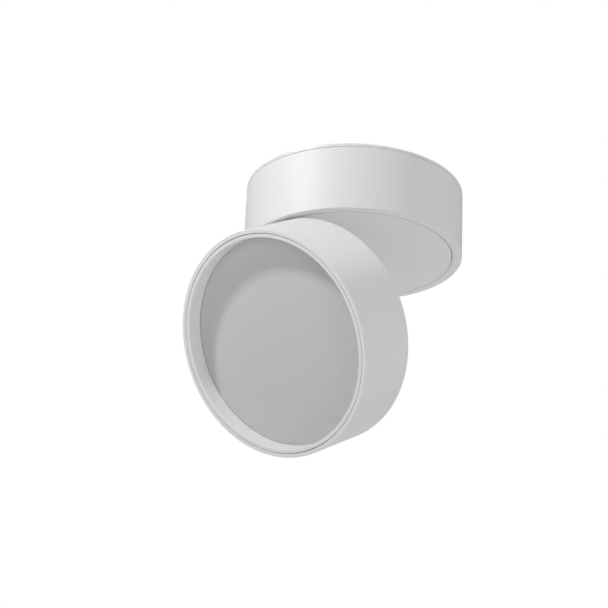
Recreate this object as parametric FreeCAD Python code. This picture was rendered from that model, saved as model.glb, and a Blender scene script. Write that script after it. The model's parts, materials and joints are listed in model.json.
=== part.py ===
import FreeCAD, Part
import math
import os

# A ceiling spotlight made of two drums of one diameter. The canopy drum is screwed to the
# ceiling, a disc set in its underside turns about the vertical axis, and the lamp head drum
# hangs on a friction hinge below the edge of that disc.
# Millimetres. z = 0 is the ceiling, +Z up, the swivel axis is the Z axis, the head faces -Y.
# The head is drawn folded flat under the canopy and then swung open about its hinge.

V = FreeCAD.Vector
UP = V(0, 0, 1)

# ---- fits and gaps ----
EDGE_CLEAR = 0.30       # hinge bracket inside the disc's edge
RUN_GAP = 0.05          # axial play between faces that turn on each other
SHAFT_CLEAR = 0.05      # radial play of a turning shaft in its bore
SEAT_CLEAR = 0.10       # radial play of a piece that is fixed in its seat
PIN_CLEAR = 0.02        # radial play of a pressed pin or a screw in its thread
SAME = 0.01             # two sizes closer than this count as one

# ---- both drums ----
DRUM_R = 50.0           # outside radius of canopy and lamp head
EDGE_R = 0.4            # rounding of the visible rims

# ---- canopy ----
CANOPY_H = 31.8         # ceiling to underside
CANOPY_WALL = 2.0
LIP_W = 3.75            # plain rim round the turning disc
PLATE_T = 1.4           # ceiling plate
PLATE_INSET = 0.1       # its edge stands in from the drum
SEAM_H = 0.4            # shadow line under the ceiling plate
SEAM_DEPTH = 0.7
WEB_T = 2.5             # floor inside the canopy that carries the swivel

# ---- ceiling plate ----
SLOT_SPACING = 64.0     # ceiling screw slots, centre to centre along X
SLOT_W = 4.5
SLOT_L = 10.0
CABLE_R = 4.0           # bore of the cable grommet
GROMMET_WALL = 3.9
GROMMET_FLANGE = 2.2    # how far its flange stands out from the plate's hole
GROMMET_FLANGE_T = 1.6
GROMMET_SINK = 0.2      # its top lies under the ceiling face
LUG_W = 12.0            # bent lugs that take the side screws
LUG_H = 11.0
LUG_T = 2.0
SIDE_SCREW_ANGLE = 42.5  # direction of the side screws, degrees from +X
SIDE_SCREW_R = 2.0
SIDE_SCREW_L = 5.0
SIDE_SCREW_DROP = 7.5   # side screws below the ceiling
SIDE_SCREW_SINK = 0.3
SIDE_SOCKET_R = 1.2
SIDE_SOCKET_DEPTH = 1.8

# ---- turning disc and axle ----
RING_GAP = 1.0          # groove between disc and lip
DISC_T = 3.2
AXLE_R = 5.0
AXLE_BORE_R = 3.3
FLANGE_R = 12.0
FLANGE_T = 1.6
AXLE_SCREW_PITCH_R = 9.4
AXLE_SCREW_ANGLE = 90.0
AXLE_SCREW_FLOOR = 0.8  # disc left under the axle screws' holes
SLIP_T = 0.5            # slip washers
SLIP_R = 7.0            # the lower one, inside the axle flange's screws
UPPER_SLIP_R = 8.0
SPRING_H = 1.0          # conical spring washer, free height
SPRING_T = 0.5
NUT_T = 3.5
NUT_FLATS = 14.0
AXLE_PROUD = 1.0        # axle above the nut
GROOVE_W = 5.0          # lead groove in the disc's upper face
GROOVE_DEPTH = 1.6
LEAD_GAP = 0.8          # lead bush to the hinge bracket
LEAD_BUSH_R = 3.2
LEAD_BORE_R = 1.8
BUSH_FLANGE_R = 4.6
BUSH_FLANGE_T = 0.8
STOP_PIN_R = 1.5
STOP_INSET = 5.25       # stop pins inside the disc's edge
STOP_ANGLE = -110.0     # where the disc's stop pin stands, degrees from +X
STOP_CLEAR = 0.55       # stop pin end to the face it passes
STOP_DEPTH = 2.0        # stop pin in the disc

# ---- hinge ----
REST_TILT = 60.0        # head swung open from folded flat
KNUCKLE_R = 2.2
HINGE_PIN_R = 1.25
HINGE_INSET = 4.1       # hinge axis in from the drum's outside
RIM_CLEAR = 0.5         # head rim to canopy underside when the head stands at 90 degrees
HINGE_SINK = 0.1        # hinge axis inside the head's rear plane
HINGE_HALF_W = 7.0
KNUCKLE_HALF_W = 2.9    # the head's knuckle, between the two arms
FRICTION_T = 0.3
BRACKET_T = 2.2
BRACKET_L = 16.5
BRACKET_SCREW_INSET = 4.5
BRACKET_SCREW_X = 4.0
ARM_BACK = 0.5          # arm's outer face behind the hinge axis
ARM_DROP = 0.5          # arm's top below the lip
ARM_ROOT = 4.0
PIN_HEAD_R = 2.0
PIN_HEAD_T = 0.8
CLIP_T = 0.5
SPRING_WASHER_T = 0.4
PIN_TAIL = 0.4
PIN_SLOT = 0.5          # screwdriver slot in the pin's head
CLIP_GAP_W = 1.4        # open side of the clip

# ---- lamp head ----
HEAD_L = 31.3           # rear rim to front rim
HEAD_WALL = 1.8
COVER_SINK = 0.3        # rear cover inside the rear rim
COVER_T = 1.5
POCKET_DEPTH = 3.2      # hinge pocket, from the rear plane
POCKET_FLOOR = 1.2
POCKET_WALL = 1.2
POCKET_HALF_W = 9.3
POCKET_L = 17.5         # along the radius, in from the drum's outside
POCKET_CLEAR = 0.3      # hinge to the shell's wall
LEAF_T = 1.6
LEAF_L = 8.5
LEAF_GAP = 0.5          # leaf to the pocket's inner wall
LEAF_SCREW_X = 3.6
NECK_SETBACK = 1.2      # neck's lower corner behind the hinge axis
NECK_ROOT = 1.0         # neck's overlap with the foot
LEAF_HALF_W = 6.5
SINK_DEPTH = 13.0       # heat sink plate, from the rear plane
SINK_T = 3.0
FIN_T = 1.4
FIN_PITCH = 5.0
FIN_H = 6.3
FIN_INSET = 4.1         # fins' ends inside the heat sink's edge
POST_R = 3.6
POST_INSET = 6.0        # posts inside the fins' ends
POST_ANGLE = 45.0
POST_SCREW_L = 5.0      # rear cover screws in the posts
LEDGE_T = 1.4           # shell ledge under the heat sink
LEDGE_W = 4.2
LEDGE_SCREW_INSET = 2.1
THREE_SCREW_ANGLE = 30.0    # first of three screws in ledge and board, from +X
PAD_T = 0.3
LEAD_PASS_R = 2.5       # lead hole through heat sink, pad and board
LEAD_PASS_INSET = 5.8   # its middle inside the board's edge
SINK_SCREW_L = 2.0      # screws in the heat sink's plate
BOARD_INSET = 2.2       # lamp board inside the shell's ledge
BOARD_SCREW_INSET = 4.0
BOARD_T = 1.5
LED_L = 3.5
LED_W = 2.8
LED_H = 0.8
PLUG_L = 5.0            # lead connector on the board
PLUG_W = 6.0
PLUG_H = 3.2
PLUG_PIN_R = 0.7
PLUG_GAP = 2.5
LED_RINGS = 3
LED_STEP = 6            # chips on the inner ring, and how many more on each next
LED_PITCH = 10.0        # between the rings
LED_INSET = 12.8        # outer ring inside the board's edge
TRIM_DEPTH = 7.5        # straight inner wall in front of the diffuser
TRIM_W = 1.7            # trim's front face
TRIM_SEAM = 0.3         # groove between trim and shell rim
TRIM_SINK = 0.1
SKIRT_L = 2.6           # trim behind the diffuser's front edge
SKIRT_T = 0.6
CATCH_W = 8.0           # snap catches on the skirt
CATCH_H = 0.9
CATCH_OUT = 0.6
GASKET_T = 0.3
GASKET_W = 0.7
DIFFUSER_EDGE_T = 1.8
DIFFUSER_DOME = 1.5
DIFFUSER_SKIN = 1.8
DIFFUSER_RIM_W = 3.0    # solid edge round the hollow back
FACE_INSET = 0.4        # domed face inside the trim's inner wall
CONE_T = 1.1            # white light ring behind the diffuser
CONE_FOOT = 1.7
CONE_LAND = 1.0
CONE_INSET = 0.8        # its mouth inside the diffuser's edge

# ---- electrics in the canopy ----
DRIVER_GAP = 0.3        # driver's far corners to the lugs on the ceiling plate
DRIVER_W = 25.5
DRIVER_H = 15.5
DRIVER_WALL = 1.4
DRIVER_LID_T = 1.5
DRIVER_LID_RIM = 1.0    # rim under the lid, its height and width
DRIVER_NUT_GAP = 1.5    # driver to the swivel nut's corner
DRIVER_BOARD_T = 1.4
DRIVER_BOARD_UP = 3.0
DRIVER_BOARD_GAP = 0.4
DRIVER_POST_R = 2.0
DRIVER_POST_INSET = 3.5
DRIVER_SCREW_INSET = 2.7
DRIVER_NOTCH_W = 5.0    # lead notches in the ends of the case
DRIVER_NOTCH_H = 4.0
CORE_W = 16.0           # transformer core, square in plan
CORE_H = 7.5
CORE_LEG = 2.0
COIL_GAP = 0.15
COIL_INSET = 1.0        # coil inside the core's ends
CORE_FOOT_H = 1.0
CAN_R = 4.0             # upright capacitors
CAN_H = 8.6
CAN_SHIFT_X = 1.0       # from midway between core and case, towards the core
CAN_SHIFT = 5.0
FILM_L = 6.0            # box capacitor
FILM_W = 6.5
FILM_H = 7.0
FILM_GAP = 1.0
CHOKE_R = 3.6
CHOKE_WIRE_R = 1.5
BLOCK_L = 27.0
BLOCK_W = 16.0
BLOCK_H = 12.0
BLOCK_Y = 22.5          # its middle, from the swivel axis
POLES = 3
ENTRY_R = 1.7           # wire entries of the terminal block
ENTRY_UP = 4.0
TERMINAL_R = 1.9
TERMINAL_SINK = 1.5
BLOCK_SCREW_SINK = 4.0
EARTH_X = 27.0
EARTH_Y = 22.0
EARTH_BOSS_R = 4.5
EARTH_BOSS_H = 3.0
EARTH_WASHER_T = 0.8
DRIVER_SLOT = 0.6       # screwdriver slots, their width
SLOT_DEPTH = 0.8

# ---- screws: thread radius, head radius, head height ----
M3 = (1.5, 2.7, 1.7)
M25 = (1.25, 2.1, 1.5)
M4 = (2.0, 3.5, 2.4)
TIP_CLEAR = 0.2         # screw tips short of the far face
SOCKET_SHARE = 0.5      # hex socket across corners, of the head's radius
SOCKET_DEPTH_SHARE = 0.55

# ---- levels and radii that follow ----
UNDERSIDE = -CANOPY_H
DISC_TOP = UNDERSIDE + DISC_T
FLANGE_TOP = DISC_TOP + FLANGE_T
WEB_LOW = FLANGE_TOP + SLIP_T + RUN_GAP
WEB_TOP = WEB_LOW + WEB_T
UPPER_SLIP = WEB_TOP + RUN_GAP
SPRING_LOW = UPPER_SLIP + SLIP_T
NUT_LOW = SPRING_LOW + SPRING_H
AXLE_TOP = NUT_LOW + NUT_T + AXLE_PROUD
RECESS_R = DRUM_R - LIP_W
DISC_R = RECESS_R - RING_GAP
STOP_PITCH_R = DISC_R - STOP_INSET
CANOPY_IN_R = DRUM_R - CANOPY_WALL
DRIVER_Y = NUT_FLATS / math.sqrt(3) + DRIVER_NUT_GAP
DRIVER_FAR_Y = DRIVER_Y + DRIVER_W
DRIVER_MID_Y = DRIVER_Y + DRIVER_W / 2
DRIVER_CORNER_R = CANOPY_IN_R - SEAT_CLEAR - LUG_T - DRIVER_GAP
DRIVER_L = 2 * math.sqrt(DRIVER_CORNER_R ** 2 - DRIVER_FAR_Y ** 2)
CAN_X = (CORE_W / 2 + DRIVER_L / 2 - DRIVER_WALL) / 2 - CAN_SHIFT_X
BOARD_SEAT = WEB_TOP + DRIVER_WALL + DRIVER_BOARD_UP
PARTS_SEAT = BOARD_SEAT + DRIVER_BOARD_T
SHELL_TOP = -PLATE_T
HINGE_Y = DRUM_R - HINGE_INSET
HINGE_Z = UNDERSIDE - HINGE_INSET - RIM_CLEAR
REAR = HINGE_Z + HINGE_SINK
HEAD_IN_R = DRUM_R - HEAD_WALL
FRONT = REAR - HEAD_L
TRIM_LOW = FRONT + TRIM_SINK
TRIM_BACK = FRONT + TRIM_DEPTH
TRIM_OUT_R = HEAD_IN_R - TRIM_SEAM
TRIM_INNER_R = TRIM_OUT_R - TRIM_W
DIFFUSER_R = TRIM_OUT_R - SKIRT_T - SEAT_CLEAR
DIFFUSER_FACE = TRIM_BACK + GASKET_T
DIFFUSER_BACK = DIFFUSER_FACE + DIFFUSER_EDGE_T
SINK_TOP = REAR - SINK_DEPTH
SINK_LOW = SINK_TOP - SINK_T
LEDGE_R = HEAD_IN_R - LEDGE_W
BOARD_R = LEDGE_R - BOARD_INSET
BOARD_TOP = SINK_LOW - PAD_T
BOARD_LOW = BOARD_TOP - BOARD_T
COVER_TOP = REAR - COVER_SINK
COVER_LOW = COVER_TOP - COVER_T
COVER_R = HEAD_IN_R - SEAT_CLEAR
FIN_R = COVER_R - FIN_INSET
POST_PITCH_R = FIN_R - POST_INSET
POCKET_Z = REAR - POCKET_DEPTH
BRACKET_END = math.sqrt(DISC_R ** 2 - HINGE_HALF_W ** 2) - EDGE_CLEAR
LEAD_HOLE_Y = BRACKET_END - BRACKET_L - BUSH_FLANGE_R - LEAD_GAP
POCKET_Y = DRUM_R - POCKET_L
LEAF_Y = POCKET_Y + LEAF_GAP
LEAD_PASS_Y = BOARD_R - LEAD_PASS_INSET


# ---- shapes used by several pieces ----
def cylinder(radius, low, high, x=0.0, y=0.0):
    return Part.makeCylinder(radius, high - low, V(x, y, low), UP)


def ring(outer, inner, low, high, x=0.0, y=0.0):
    return cylinder(outer, low, high, x, y).cut(cylinder(inner, low - 1, high + 1, x, y))


def box(x0, x1, y0, y1, z0, z1):
    return Part.makeBox(x1 - x0, y1 - y0, z1 - z0, V(x0, y0, z0))


def lathe(points):
    """Closed outline of (radius, z) points turned about the Z axis."""
    wire = Part.makePolygon([V(r, 0, z) for r, z in points + points[:1]])
    return Part.Face(wire).revolve(V(0, 0, 0), UP, 360)


def slab(points, x0, x1):
    """Outline of (y, z) points, drawn out along X."""
    wire = Part.makePolygon([V(x0, y, z) for y, z in points + points[:1]])
    return Part.Face(wire).extrude(V(x1 - x0, 0, 0))


def cross_rod(radius, x0, x1, y, z):
    return Part.makeCylinder(radius, x1 - x0, V(x0, y, z), V(1, 0, 0))


def hexagon(corner_r, low, high, x=0.0, y=0.0):
    corners = [V(x + corner_r * math.cos(k * math.pi / 3), y + corner_r * math.sin(k * math.pi / 3), low)
               for k in range(7)]
    return Part.Face(Part.makePolygon(corners)).extrude(V(0, 0, high - low))


def around(count, radius, start=0.0):
    """Points evenly spaced on a circle about the Z axis."""
    angles = [math.radians(start + 360.0 * k / count) for k in range(count)]
    return [(radius * math.cos(a), radius * math.sin(a)) for a in angles]


def turned(shape, angle):
    shape.rotate(V(0, 0, 0), UP, angle)
    return shape


def fuse_all(shapes):
    return shapes[0].multiFuse(shapes[1:]).removeSplitter()


def cut_all(shape, tools):
    for tool in tools:
        shape = shape.cut(tool)
    return shape


def round_circles(shape, radius, z, size):
    """Rounds the circular edges of that radius at that height."""
    edges = []
    for edge in shape.Edges:
        curve = edge.Curve
        if not isinstance(curve, Part.Circle):
            continue
        if abs(curve.Radius - radius) < SAME and abs(curve.Center.z - z) < SAME:
            edges.append(edge)
    return shape.makeFillet(size, edges)


def screw(size, seat, tip, x=0.0, y=0.0):
    """Socket screw along Z. Its head stands on the seat, on the side away from the tip."""
    thread_r, head_r, head_h = size
    out = 1.0 if seat > tip else -1.0
    top = seat + out * head_h
    bottom = top - out * head_h * SOCKET_DEPTH_SHARE
    body = fuse_all([cylinder(thread_r, min(seat, tip), max(seat, tip), x, y),
                     cylinder(head_r, min(seat, top), max(seat, top), x, y)])
    return body.cut(hexagon(head_r * SOCKET_SHARE, min(bottom, top + out), max(bottom, top + out), x, y))


def sunk_screw(size, face, tip, x=0.0, y=0.0):
    """Countersunk screw along Z, its flat head flush with the face."""
    thread_r, head_r, _ = size
    out = 1.0 if face > tip else -1.0
    neck = face - out * (head_r - thread_r)
    cone = Part.makeCone(head_r, thread_r, head_r - thread_r, V(x, y, face), V(0, 0, -out))
    body = fuse_all([cylinder(thread_r, min(neck, tip), max(neck, tip), x, y), cone])
    low = face - out * (head_r - thread_r)
    return body.cut(hexagon(head_r * SOCKET_SHARE, min(low, face + out), max(low, face + out), x, y))


def sunk_hole(size, face, far, x=0.0, y=0.0):
    """Clearance hole with a countersink for sunk_screw."""
    thread_r, head_r, _ = size
    out = 1.0 if face > far else -1.0
    hole = cylinder(thread_r + PIN_CLEAR, min(face, far), max(face, far), x, y)
    wide = head_r + PIN_CLEAR
    cone = Part.makeCone(wide, thread_r + PIN_CLEAR, head_r - thread_r, V(x, y, face), V(0, 0, -out))
    return hole.fuse(cone)


def tap_hole(size, low, high, x=0.0, y=0.0):
    return cylinder(size[0] + PIN_CLEAR, low, high, x, y)


def group(shapes):
    return Part.makeCompound(shapes)


# ---- canopy, fixed to the ceiling ----
def ceiling_plate():
    plate = cylinder(DRUM_R - PLATE_INSET, -PLATE_T, 0)
    lug_out = CANOPY_IN_R - SEAT_CLEAR
    shapes = [plate]
    for angle in (SIDE_SCREW_ANGLE, SIDE_SCREW_ANGLE + 180):
        lug = box(lug_out - LUG_T, lug_out - SEAT_CLEAR, -LUG_W / 2, LUG_W / 2, -PLATE_T - LUG_H, -PLATE_T)
        lug = lug.common(cylinder(lug_out, -PLATE_T - LUG_H, -PLATE_T))
        shapes.append(turned(lug, angle))
    plate = fuse_all(shapes)
    plate = cut_all(plate, side_screw_rods(SIDE_SCREW_R + PIN_CLEAR, lug_out - LUG_T - 1, DRUM_R))
    plate = plate.cut(cylinder(CABLE_R + GROMMET_WALL, -PLATE_T - 1, 1))
    for side in (-1, 1):
        x = side * SLOT_SPACING / 2
        half = (SLOT_L - SLOT_W) / 2
        plate = plate.cut(box(x - half, x + half, -SLOT_W / 2, SLOT_W / 2, -PLATE_T - 1, 1))
        for end in (x - half, x + half):
            plate = plate.cut(cylinder(SLOT_W / 2, -PLATE_T - 1, 1, end))
    return plate


def cable_grommet():
    hole_r = CABLE_R + GROMMET_WALL
    body = cylinder(hole_r - PIN_CLEAR, -PLATE_T, -GROMMET_SINK)
    flange = cylinder(hole_r + GROMMET_FLANGE, -PLATE_T - GROMMET_FLANGE_T, -PLATE_T)
    return fuse_all([body, flange]).cut(cylinder(CABLE_R, -PLATE_T - GROMMET_FLANGE_T - 1, 1))


def side_screw_rods(radius, inner, outer):
    shapes = []
    for angle in (SIDE_SCREW_ANGLE, SIDE_SCREW_ANGLE + 180):
        rod = Part.makeCylinder(radius, outer - inner, V(inner, 0, -SIDE_SCREW_DROP), V(1, 0, 0))
        shapes.append(turned(rod, angle))
    return shapes


def canopy_shell():
    seam_r = DRUM_R - SEAM_DEPTH
    seam_z = SHELL_TOP - SEAM_H
    outline = [(AXLE_R + SHAFT_CLEAR, WEB_LOW), (RECESS_R, WEB_LOW), (RECESS_R, UNDERSIDE),
               (DRUM_R, UNDERSIDE), (DRUM_R, seam_z), (seam_r, seam_z), (seam_r, SHELL_TOP),
               (CANOPY_IN_R, SHELL_TOP), (CANOPY_IN_R, WEB_TOP), (AXLE_R + SHAFT_CLEAR, WEB_TOP)]
    shell = lathe(outline)
    shell = round_circles(shell, DRUM_R, UNDERSIDE, EDGE_R)
    shell = round_circles(shell, RECESS_R, UNDERSIDE, EDGE_R / 2)
    shell = shell.fuse(cylinder(EARTH_BOSS_R, WEB_TOP, WEB_TOP + EARTH_BOSS_H, EARTH_X, -EARTH_Y))
    shell = shell.cut(tap_hole(M4, WEB_TOP - WEB_T / 2, WEB_TOP + EARTH_BOSS_H + 1, EARTH_X, -EARTH_Y))
    shell = shell.cut(cylinder(STOP_PIN_R + PIN_CLEAR, WEB_LOW - 1, WEB_TOP + 1, *stop_place(180)))
    for x, y in driver_screw_places() + block_screw_places():
        shell = shell.cut(tap_hole(M25, WEB_LOW - 1, WEB_TOP + 1, x, y))
    shell = cut_all(shell, side_screw_rods(SIDE_SCREW_R + PIN_CLEAR, CANOPY_IN_R - 1, DRUM_R + 1))
    return shell


def side_screws():
    shapes = []
    outer = DRUM_R - SIDE_SCREW_SINK
    for angle in (SIDE_SCREW_ANGLE, SIDE_SCREW_ANGLE + 180):
        start = V(outer - SIDE_SCREW_L, 0, -SIDE_SCREW_DROP)
        pin = Part.makeCylinder(SIDE_SCREW_R, SIDE_SCREW_L, start, V(1, 0, 0))
        socket = hexagon(SIDE_SOCKET_R, 0, SIDE_SOCKET_DEPTH + 1)
        socket.rotate(V(0, 0, 0), V(0, 1, 0), 90)
        socket.translate(V(outer - SIDE_SOCKET_DEPTH, 0, -SIDE_SCREW_DROP))
        shapes.append(turned(pin.cut(socket), angle))
    return group(shapes)


def stop_place(turn):
    angle = math.radians(STOP_ANGLE + turn)
    return STOP_PITCH_R * math.cos(angle), STOP_PITCH_R * math.sin(angle)


def canopy_stop_pin():
    return cylinder(STOP_PIN_R, DISC_TOP + STOP_CLEAR, WEB_TOP, *stop_place(180))


def driver_screw_places():
    x = DRIVER_L / 2 - DRIVER_WALL - DRIVER_SCREW_INSET
    y = DRIVER_Y + DRIVER_WALL + DRIVER_SCREW_INSET
    return [(-x, y), (x, y)]


def driver_post_places():
    inset = DRIVER_WALL + DRIVER_POST_INSET
    x = DRIVER_L / 2 - inset
    far_y = DRIVER_FAR_Y - inset
    return [(-x, far_y), (x, far_y), (0, DRIVER_Y + inset)]


def driver_block(inset, low, high):
    """Rectangle of the driver's outline, drawn in by the inset."""
    x = DRIVER_L / 2 - inset
    return box(-x, x, DRIVER_Y + inset, DRIVER_FAR_Y - inset, low, high)


def driver_case():
    high = WEB_TOP + DRIVER_H
    case = driver_block(0, WEB_TOP, high).cut(driver_block(DRIVER_WALL, WEB_TOP + DRIVER_WALL, high + 1))
    floor_mid = WEB_TOP + DRIVER_WALL / 2
    posts = [cylinder(DRIVER_POST_R, floor_mid, BOARD_SEAT, x, y) for x, y in driver_post_places()]
    case = fuse_all([case] + posts)
    for x, y in driver_screw_places():
        case = case.cut(tap_hole(M25, WEB_TOP - 1, WEB_TOP + DRIVER_WALL + 1, x, y))
    for side in (-1, 1):
        x = side * DRIVER_L / 2
        notch = box(x - 2 * DRIVER_WALL, x + 2 * DRIVER_WALL, DRIVER_MID_Y, DRIVER_MID_Y + DRIVER_NOTCH_W,
                    high - DRIVER_NOTCH_H, high + 1)
        case = case.cut(notch)
    return case


def driver_screws():
    seat = WEB_TOP + DRIVER_WALL
    return group([screw(M25, seat, WEB_LOW + TIP_CLEAR, x, y) for x, y in driver_screw_places()])


def driver_board():
    board = driver_block(DRIVER_WALL + DRIVER_BOARD_GAP, BOARD_SEAT, PARTS_SEAT)
    reach = M25[1] + DRIVER_BOARD_GAP
    for x, y in driver_screw_places():
        outward = math.copysign(DRIVER_L, x)
        x0, x1 = sorted((x - math.copysign(reach, x), x + outward))
        board = board.cut(box(x0, x1, 0, y + reach, BOARD_SEAT - 1, PARTS_SEAT + 1))
    return board


def driver_transformer():
    """Core with a square window, the coil in it, and the foot that stands on the board."""
    half = CORE_W / 2
    low = PARTS_SEAT + CORE_FOOT_H
    window = half - CORE_LEG - COIL_GAP
    core = box(-half, half, DRIVER_MID_Y - half, DRIVER_MID_Y + half, low, low + CORE_H)
    core = core.cut(box(-window - COIL_GAP, window + COIL_GAP, DRIVER_Y, DRIVER_FAR_Y,
                        low + CORE_LEG, low + CORE_H - CORE_LEG))
    coil = box(-window, window, DRIVER_MID_Y - half + COIL_INSET, DRIVER_MID_Y + half - COIL_INSET,
               low + CORE_LEG + COIL_GAP, low + CORE_H - CORE_LEG - COIL_GAP)
    foot = box(-window, window, DRIVER_MID_Y - window, DRIVER_MID_Y + window, PARTS_SEAT, low)
    return group([core, coil, foot])


def driver_capacitors():
    shapes = []
    for x in (-CAN_X, CAN_X):
        can = cylinder(CAN_R, PARTS_SEAT, PARTS_SEAT + CAN_H, x, DRIVER_MID_Y + CAN_SHIFT)
        shapes.append(round_circles(can, CAN_R, PARTS_SEAT + CAN_H, EDGE_R))
    film_y = DRIVER_MID_Y + CAN_SHIFT - CAN_R - FILM_GAP
    shapes.append(box(CAN_X - FILM_L / 2, CAN_X + FILM_L / 2, film_y - FILM_W, film_y,
                      PARTS_SEAT, PARTS_SEAT + FILM_H))
    return group(shapes)


def driver_choke():
    middle = V(-CAN_X, DRIVER_MID_Y - CAN_SHIFT, PARTS_SEAT + CHOKE_WIRE_R)
    return Part.makeTorus(CHOKE_R, CHOKE_WIRE_R, middle, UP)


def driver_lid():
    low = WEB_TOP + DRIVER_H
    inset = DRIVER_WALL + SEAT_CLEAR
    rim = driver_block(inset, low - DRIVER_LID_RIM, low)
    rim = rim.cut(driver_block(inset + DRIVER_LID_RIM, low - DRIVER_LID_RIM - 1, low + 1))
    return fuse_all([driver_block(0, low, low + DRIVER_LID_T), rim])


def pole_places():
    pitch = BLOCK_L / POLES
    return [(k - (POLES - 1) / 2.0) * pitch for k in range(POLES)]


def terminal_places():
    return [(x, -BLOCK_Y + side * BLOCK_W / 4) for x in pole_places() for side in (-1, 1)]


def block_screw_places():
    pitch = BLOCK_L / POLES
    return [(x + pitch / 2, -BLOCK_Y) for x in pole_places()[:-1]]


def terminal_block():
    high = WEB_TOP + BLOCK_H
    near_y = -BLOCK_Y - BLOCK_W / 2
    block = box(-BLOCK_L / 2, BLOCK_L / 2, near_y, near_y + BLOCK_W, WEB_TOP, high)
    for x in pole_places():
        entry = Part.makeCylinder(ENTRY_R, BLOCK_W + 2, V(x, near_y - 1, WEB_TOP + ENTRY_UP), V(0, 1, 0))
        block = block.cut(entry)
    for x, y in terminal_places():
        block = block.cut(cylinder(TERMINAL_R, WEB_TOP + ENTRY_UP, high + 1, x, y))
    for x, y in block_screw_places():
        block = block.cut(tap_hole(M25, WEB_TOP - 1, high + 1, x, y))
        block = block.cut(cylinder(M25[1] + SEAT_CLEAR, high - BLOCK_SCREW_SINK, high + 1, x, y))
    return block


def terminal_screws():
    high = WEB_TOP + BLOCK_H - TERMINAL_SINK
    shapes = []
    for x, y in terminal_places():
        pin = cylinder(TERMINAL_R - SHAFT_CLEAR, WEB_TOP + ENTRY_UP + TERMINAL_SINK, high, x, y)
        slot = box(x - TERMINAL_R, x + TERMINAL_R, y - DRIVER_SLOT / 2, y + DRIVER_SLOT / 2,
                   high - SLOT_DEPTH, high + 1)
        shapes.append(pin.cut(slot))
    return group(shapes)


def block_screws():
    seat = WEB_TOP + BLOCK_H - BLOCK_SCREW_SINK
    return group([screw(M25, seat, WEB_LOW + TIP_CLEAR, x, y) for x, y in block_screw_places()])


def earth_washer():
    low = WEB_TOP + EARTH_BOSS_H
    return ring(EARTH_BOSS_R, M4[0] + SEAT_CLEAR, low, low + EARTH_WASHER_T, EARTH_X, -EARTH_Y)


def earth_screw():
    return screw(M4, WEB_TOP + EARTH_BOSS_H + EARTH_WASHER_T, WEB_TOP, EARTH_X, -EARTH_Y)


# ---- turning disc, with the hinge's fixed side ----
def axle_screw_places():
    return around(3, AXLE_SCREW_PITCH_R, AXLE_SCREW_ANGLE)


def bracket_screw_places():
    side_y = -(BRACKET_END - BRACKET_SCREW_INSET)
    return [(0.0, -(BRACKET_END - BRACKET_L + BRACKET_SCREW_INSET)),
            (-BRACKET_SCREW_X, side_y), (BRACKET_SCREW_X, side_y)]


def swivel_disc():
    disc = cylinder(DISC_R, UNDERSIDE, DISC_TOP)
    disc = round_circles(disc, DISC_R, UNDERSIDE, EDGE_R / 2)
    groove_floor = DISC_TOP - GROOVE_DEPTH
    groove = box(-GROOVE_W / 2, GROOVE_W / 2, -LEAD_HOLE_Y, 0, groove_floor, DISC_TOP + 1)
    for y in (0, -LEAD_HOLE_Y):
        groove = groove.fuse(cylinder(GROOVE_W / 2, groove_floor, DISC_TOP + 1, 0, y))
    disc = disc.cut(groove)
    disc = disc.cut(cylinder(LEAD_BUSH_R, UNDERSIDE - 1, DISC_TOP + 1, 0, -LEAD_HOLE_Y))
    for x, y in axle_screw_places():
        disc = disc.cut(tap_hole(M3, UNDERSIDE + AXLE_SCREW_FLOOR, DISC_TOP + 1, x, y))
    for x, y in bracket_screw_places():
        disc = disc.cut(sunk_hole(M3, DISC_TOP, UNDERSIDE - 1, x, y))
    return disc.cut(cylinder(STOP_PIN_R + PIN_CLEAR, DISC_TOP - STOP_DEPTH, DISC_TOP + 1, *stop_place(0)))


def swivel_stop_pin():
    return cylinder(STOP_PIN_R, DISC_TOP - STOP_DEPTH, WEB_LOW - STOP_CLEAR, *stop_place(0))


def swivel_axle():
    axle = fuse_all([cylinder(AXLE_R, DISC_TOP, AXLE_TOP), cylinder(FLANGE_R, DISC_TOP, FLANGE_TOP)])
    axle = axle.cut(cylinder(AXLE_BORE_R, DISC_TOP - 1, AXLE_TOP + 1))
    for x, y in axle_screw_places():
        axle = axle.cut(sunk_hole(M3, FLANGE_TOP, DISC_TOP - 1, x, y))
    return axle


def axle_screws():
    tip = UNDERSIDE + AXLE_SCREW_FLOOR + TIP_CLEAR
    return group([sunk_screw(M3, FLANGE_TOP, tip, x, y) for x, y in axle_screw_places()])


def lower_slip_washer():
    return ring(SLIP_R, AXLE_R + SEAT_CLEAR, FLANGE_TOP, FLANGE_TOP + SLIP_T)


def upper_slip_washer():
    return ring(UPPER_SLIP_R, AXLE_R + SEAT_CLEAR, UPPER_SLIP, UPPER_SLIP + SLIP_T)


def disc_spring():
    inner = AXLE_R + SEAT_CLEAR
    outer = UPPER_SLIP_R - SEAT_CLEAR
    rise = SPRING_H - SPRING_T
    return lathe([(outer, SPRING_LOW), (inner, SPRING_LOW + rise),
                  (inner, SPRING_LOW + rise + SPRING_T), (outer, SPRING_LOW + SPRING_T)])


def swivel_nut():
    nut = hexagon(NUT_FLATS / math.sqrt(3), NUT_LOW, NUT_LOW + NUT_T)
    return nut.cut(cylinder(AXLE_R + PIN_CLEAR, NUT_LOW - 1, NUT_LOW + NUT_T + 1))


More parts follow.
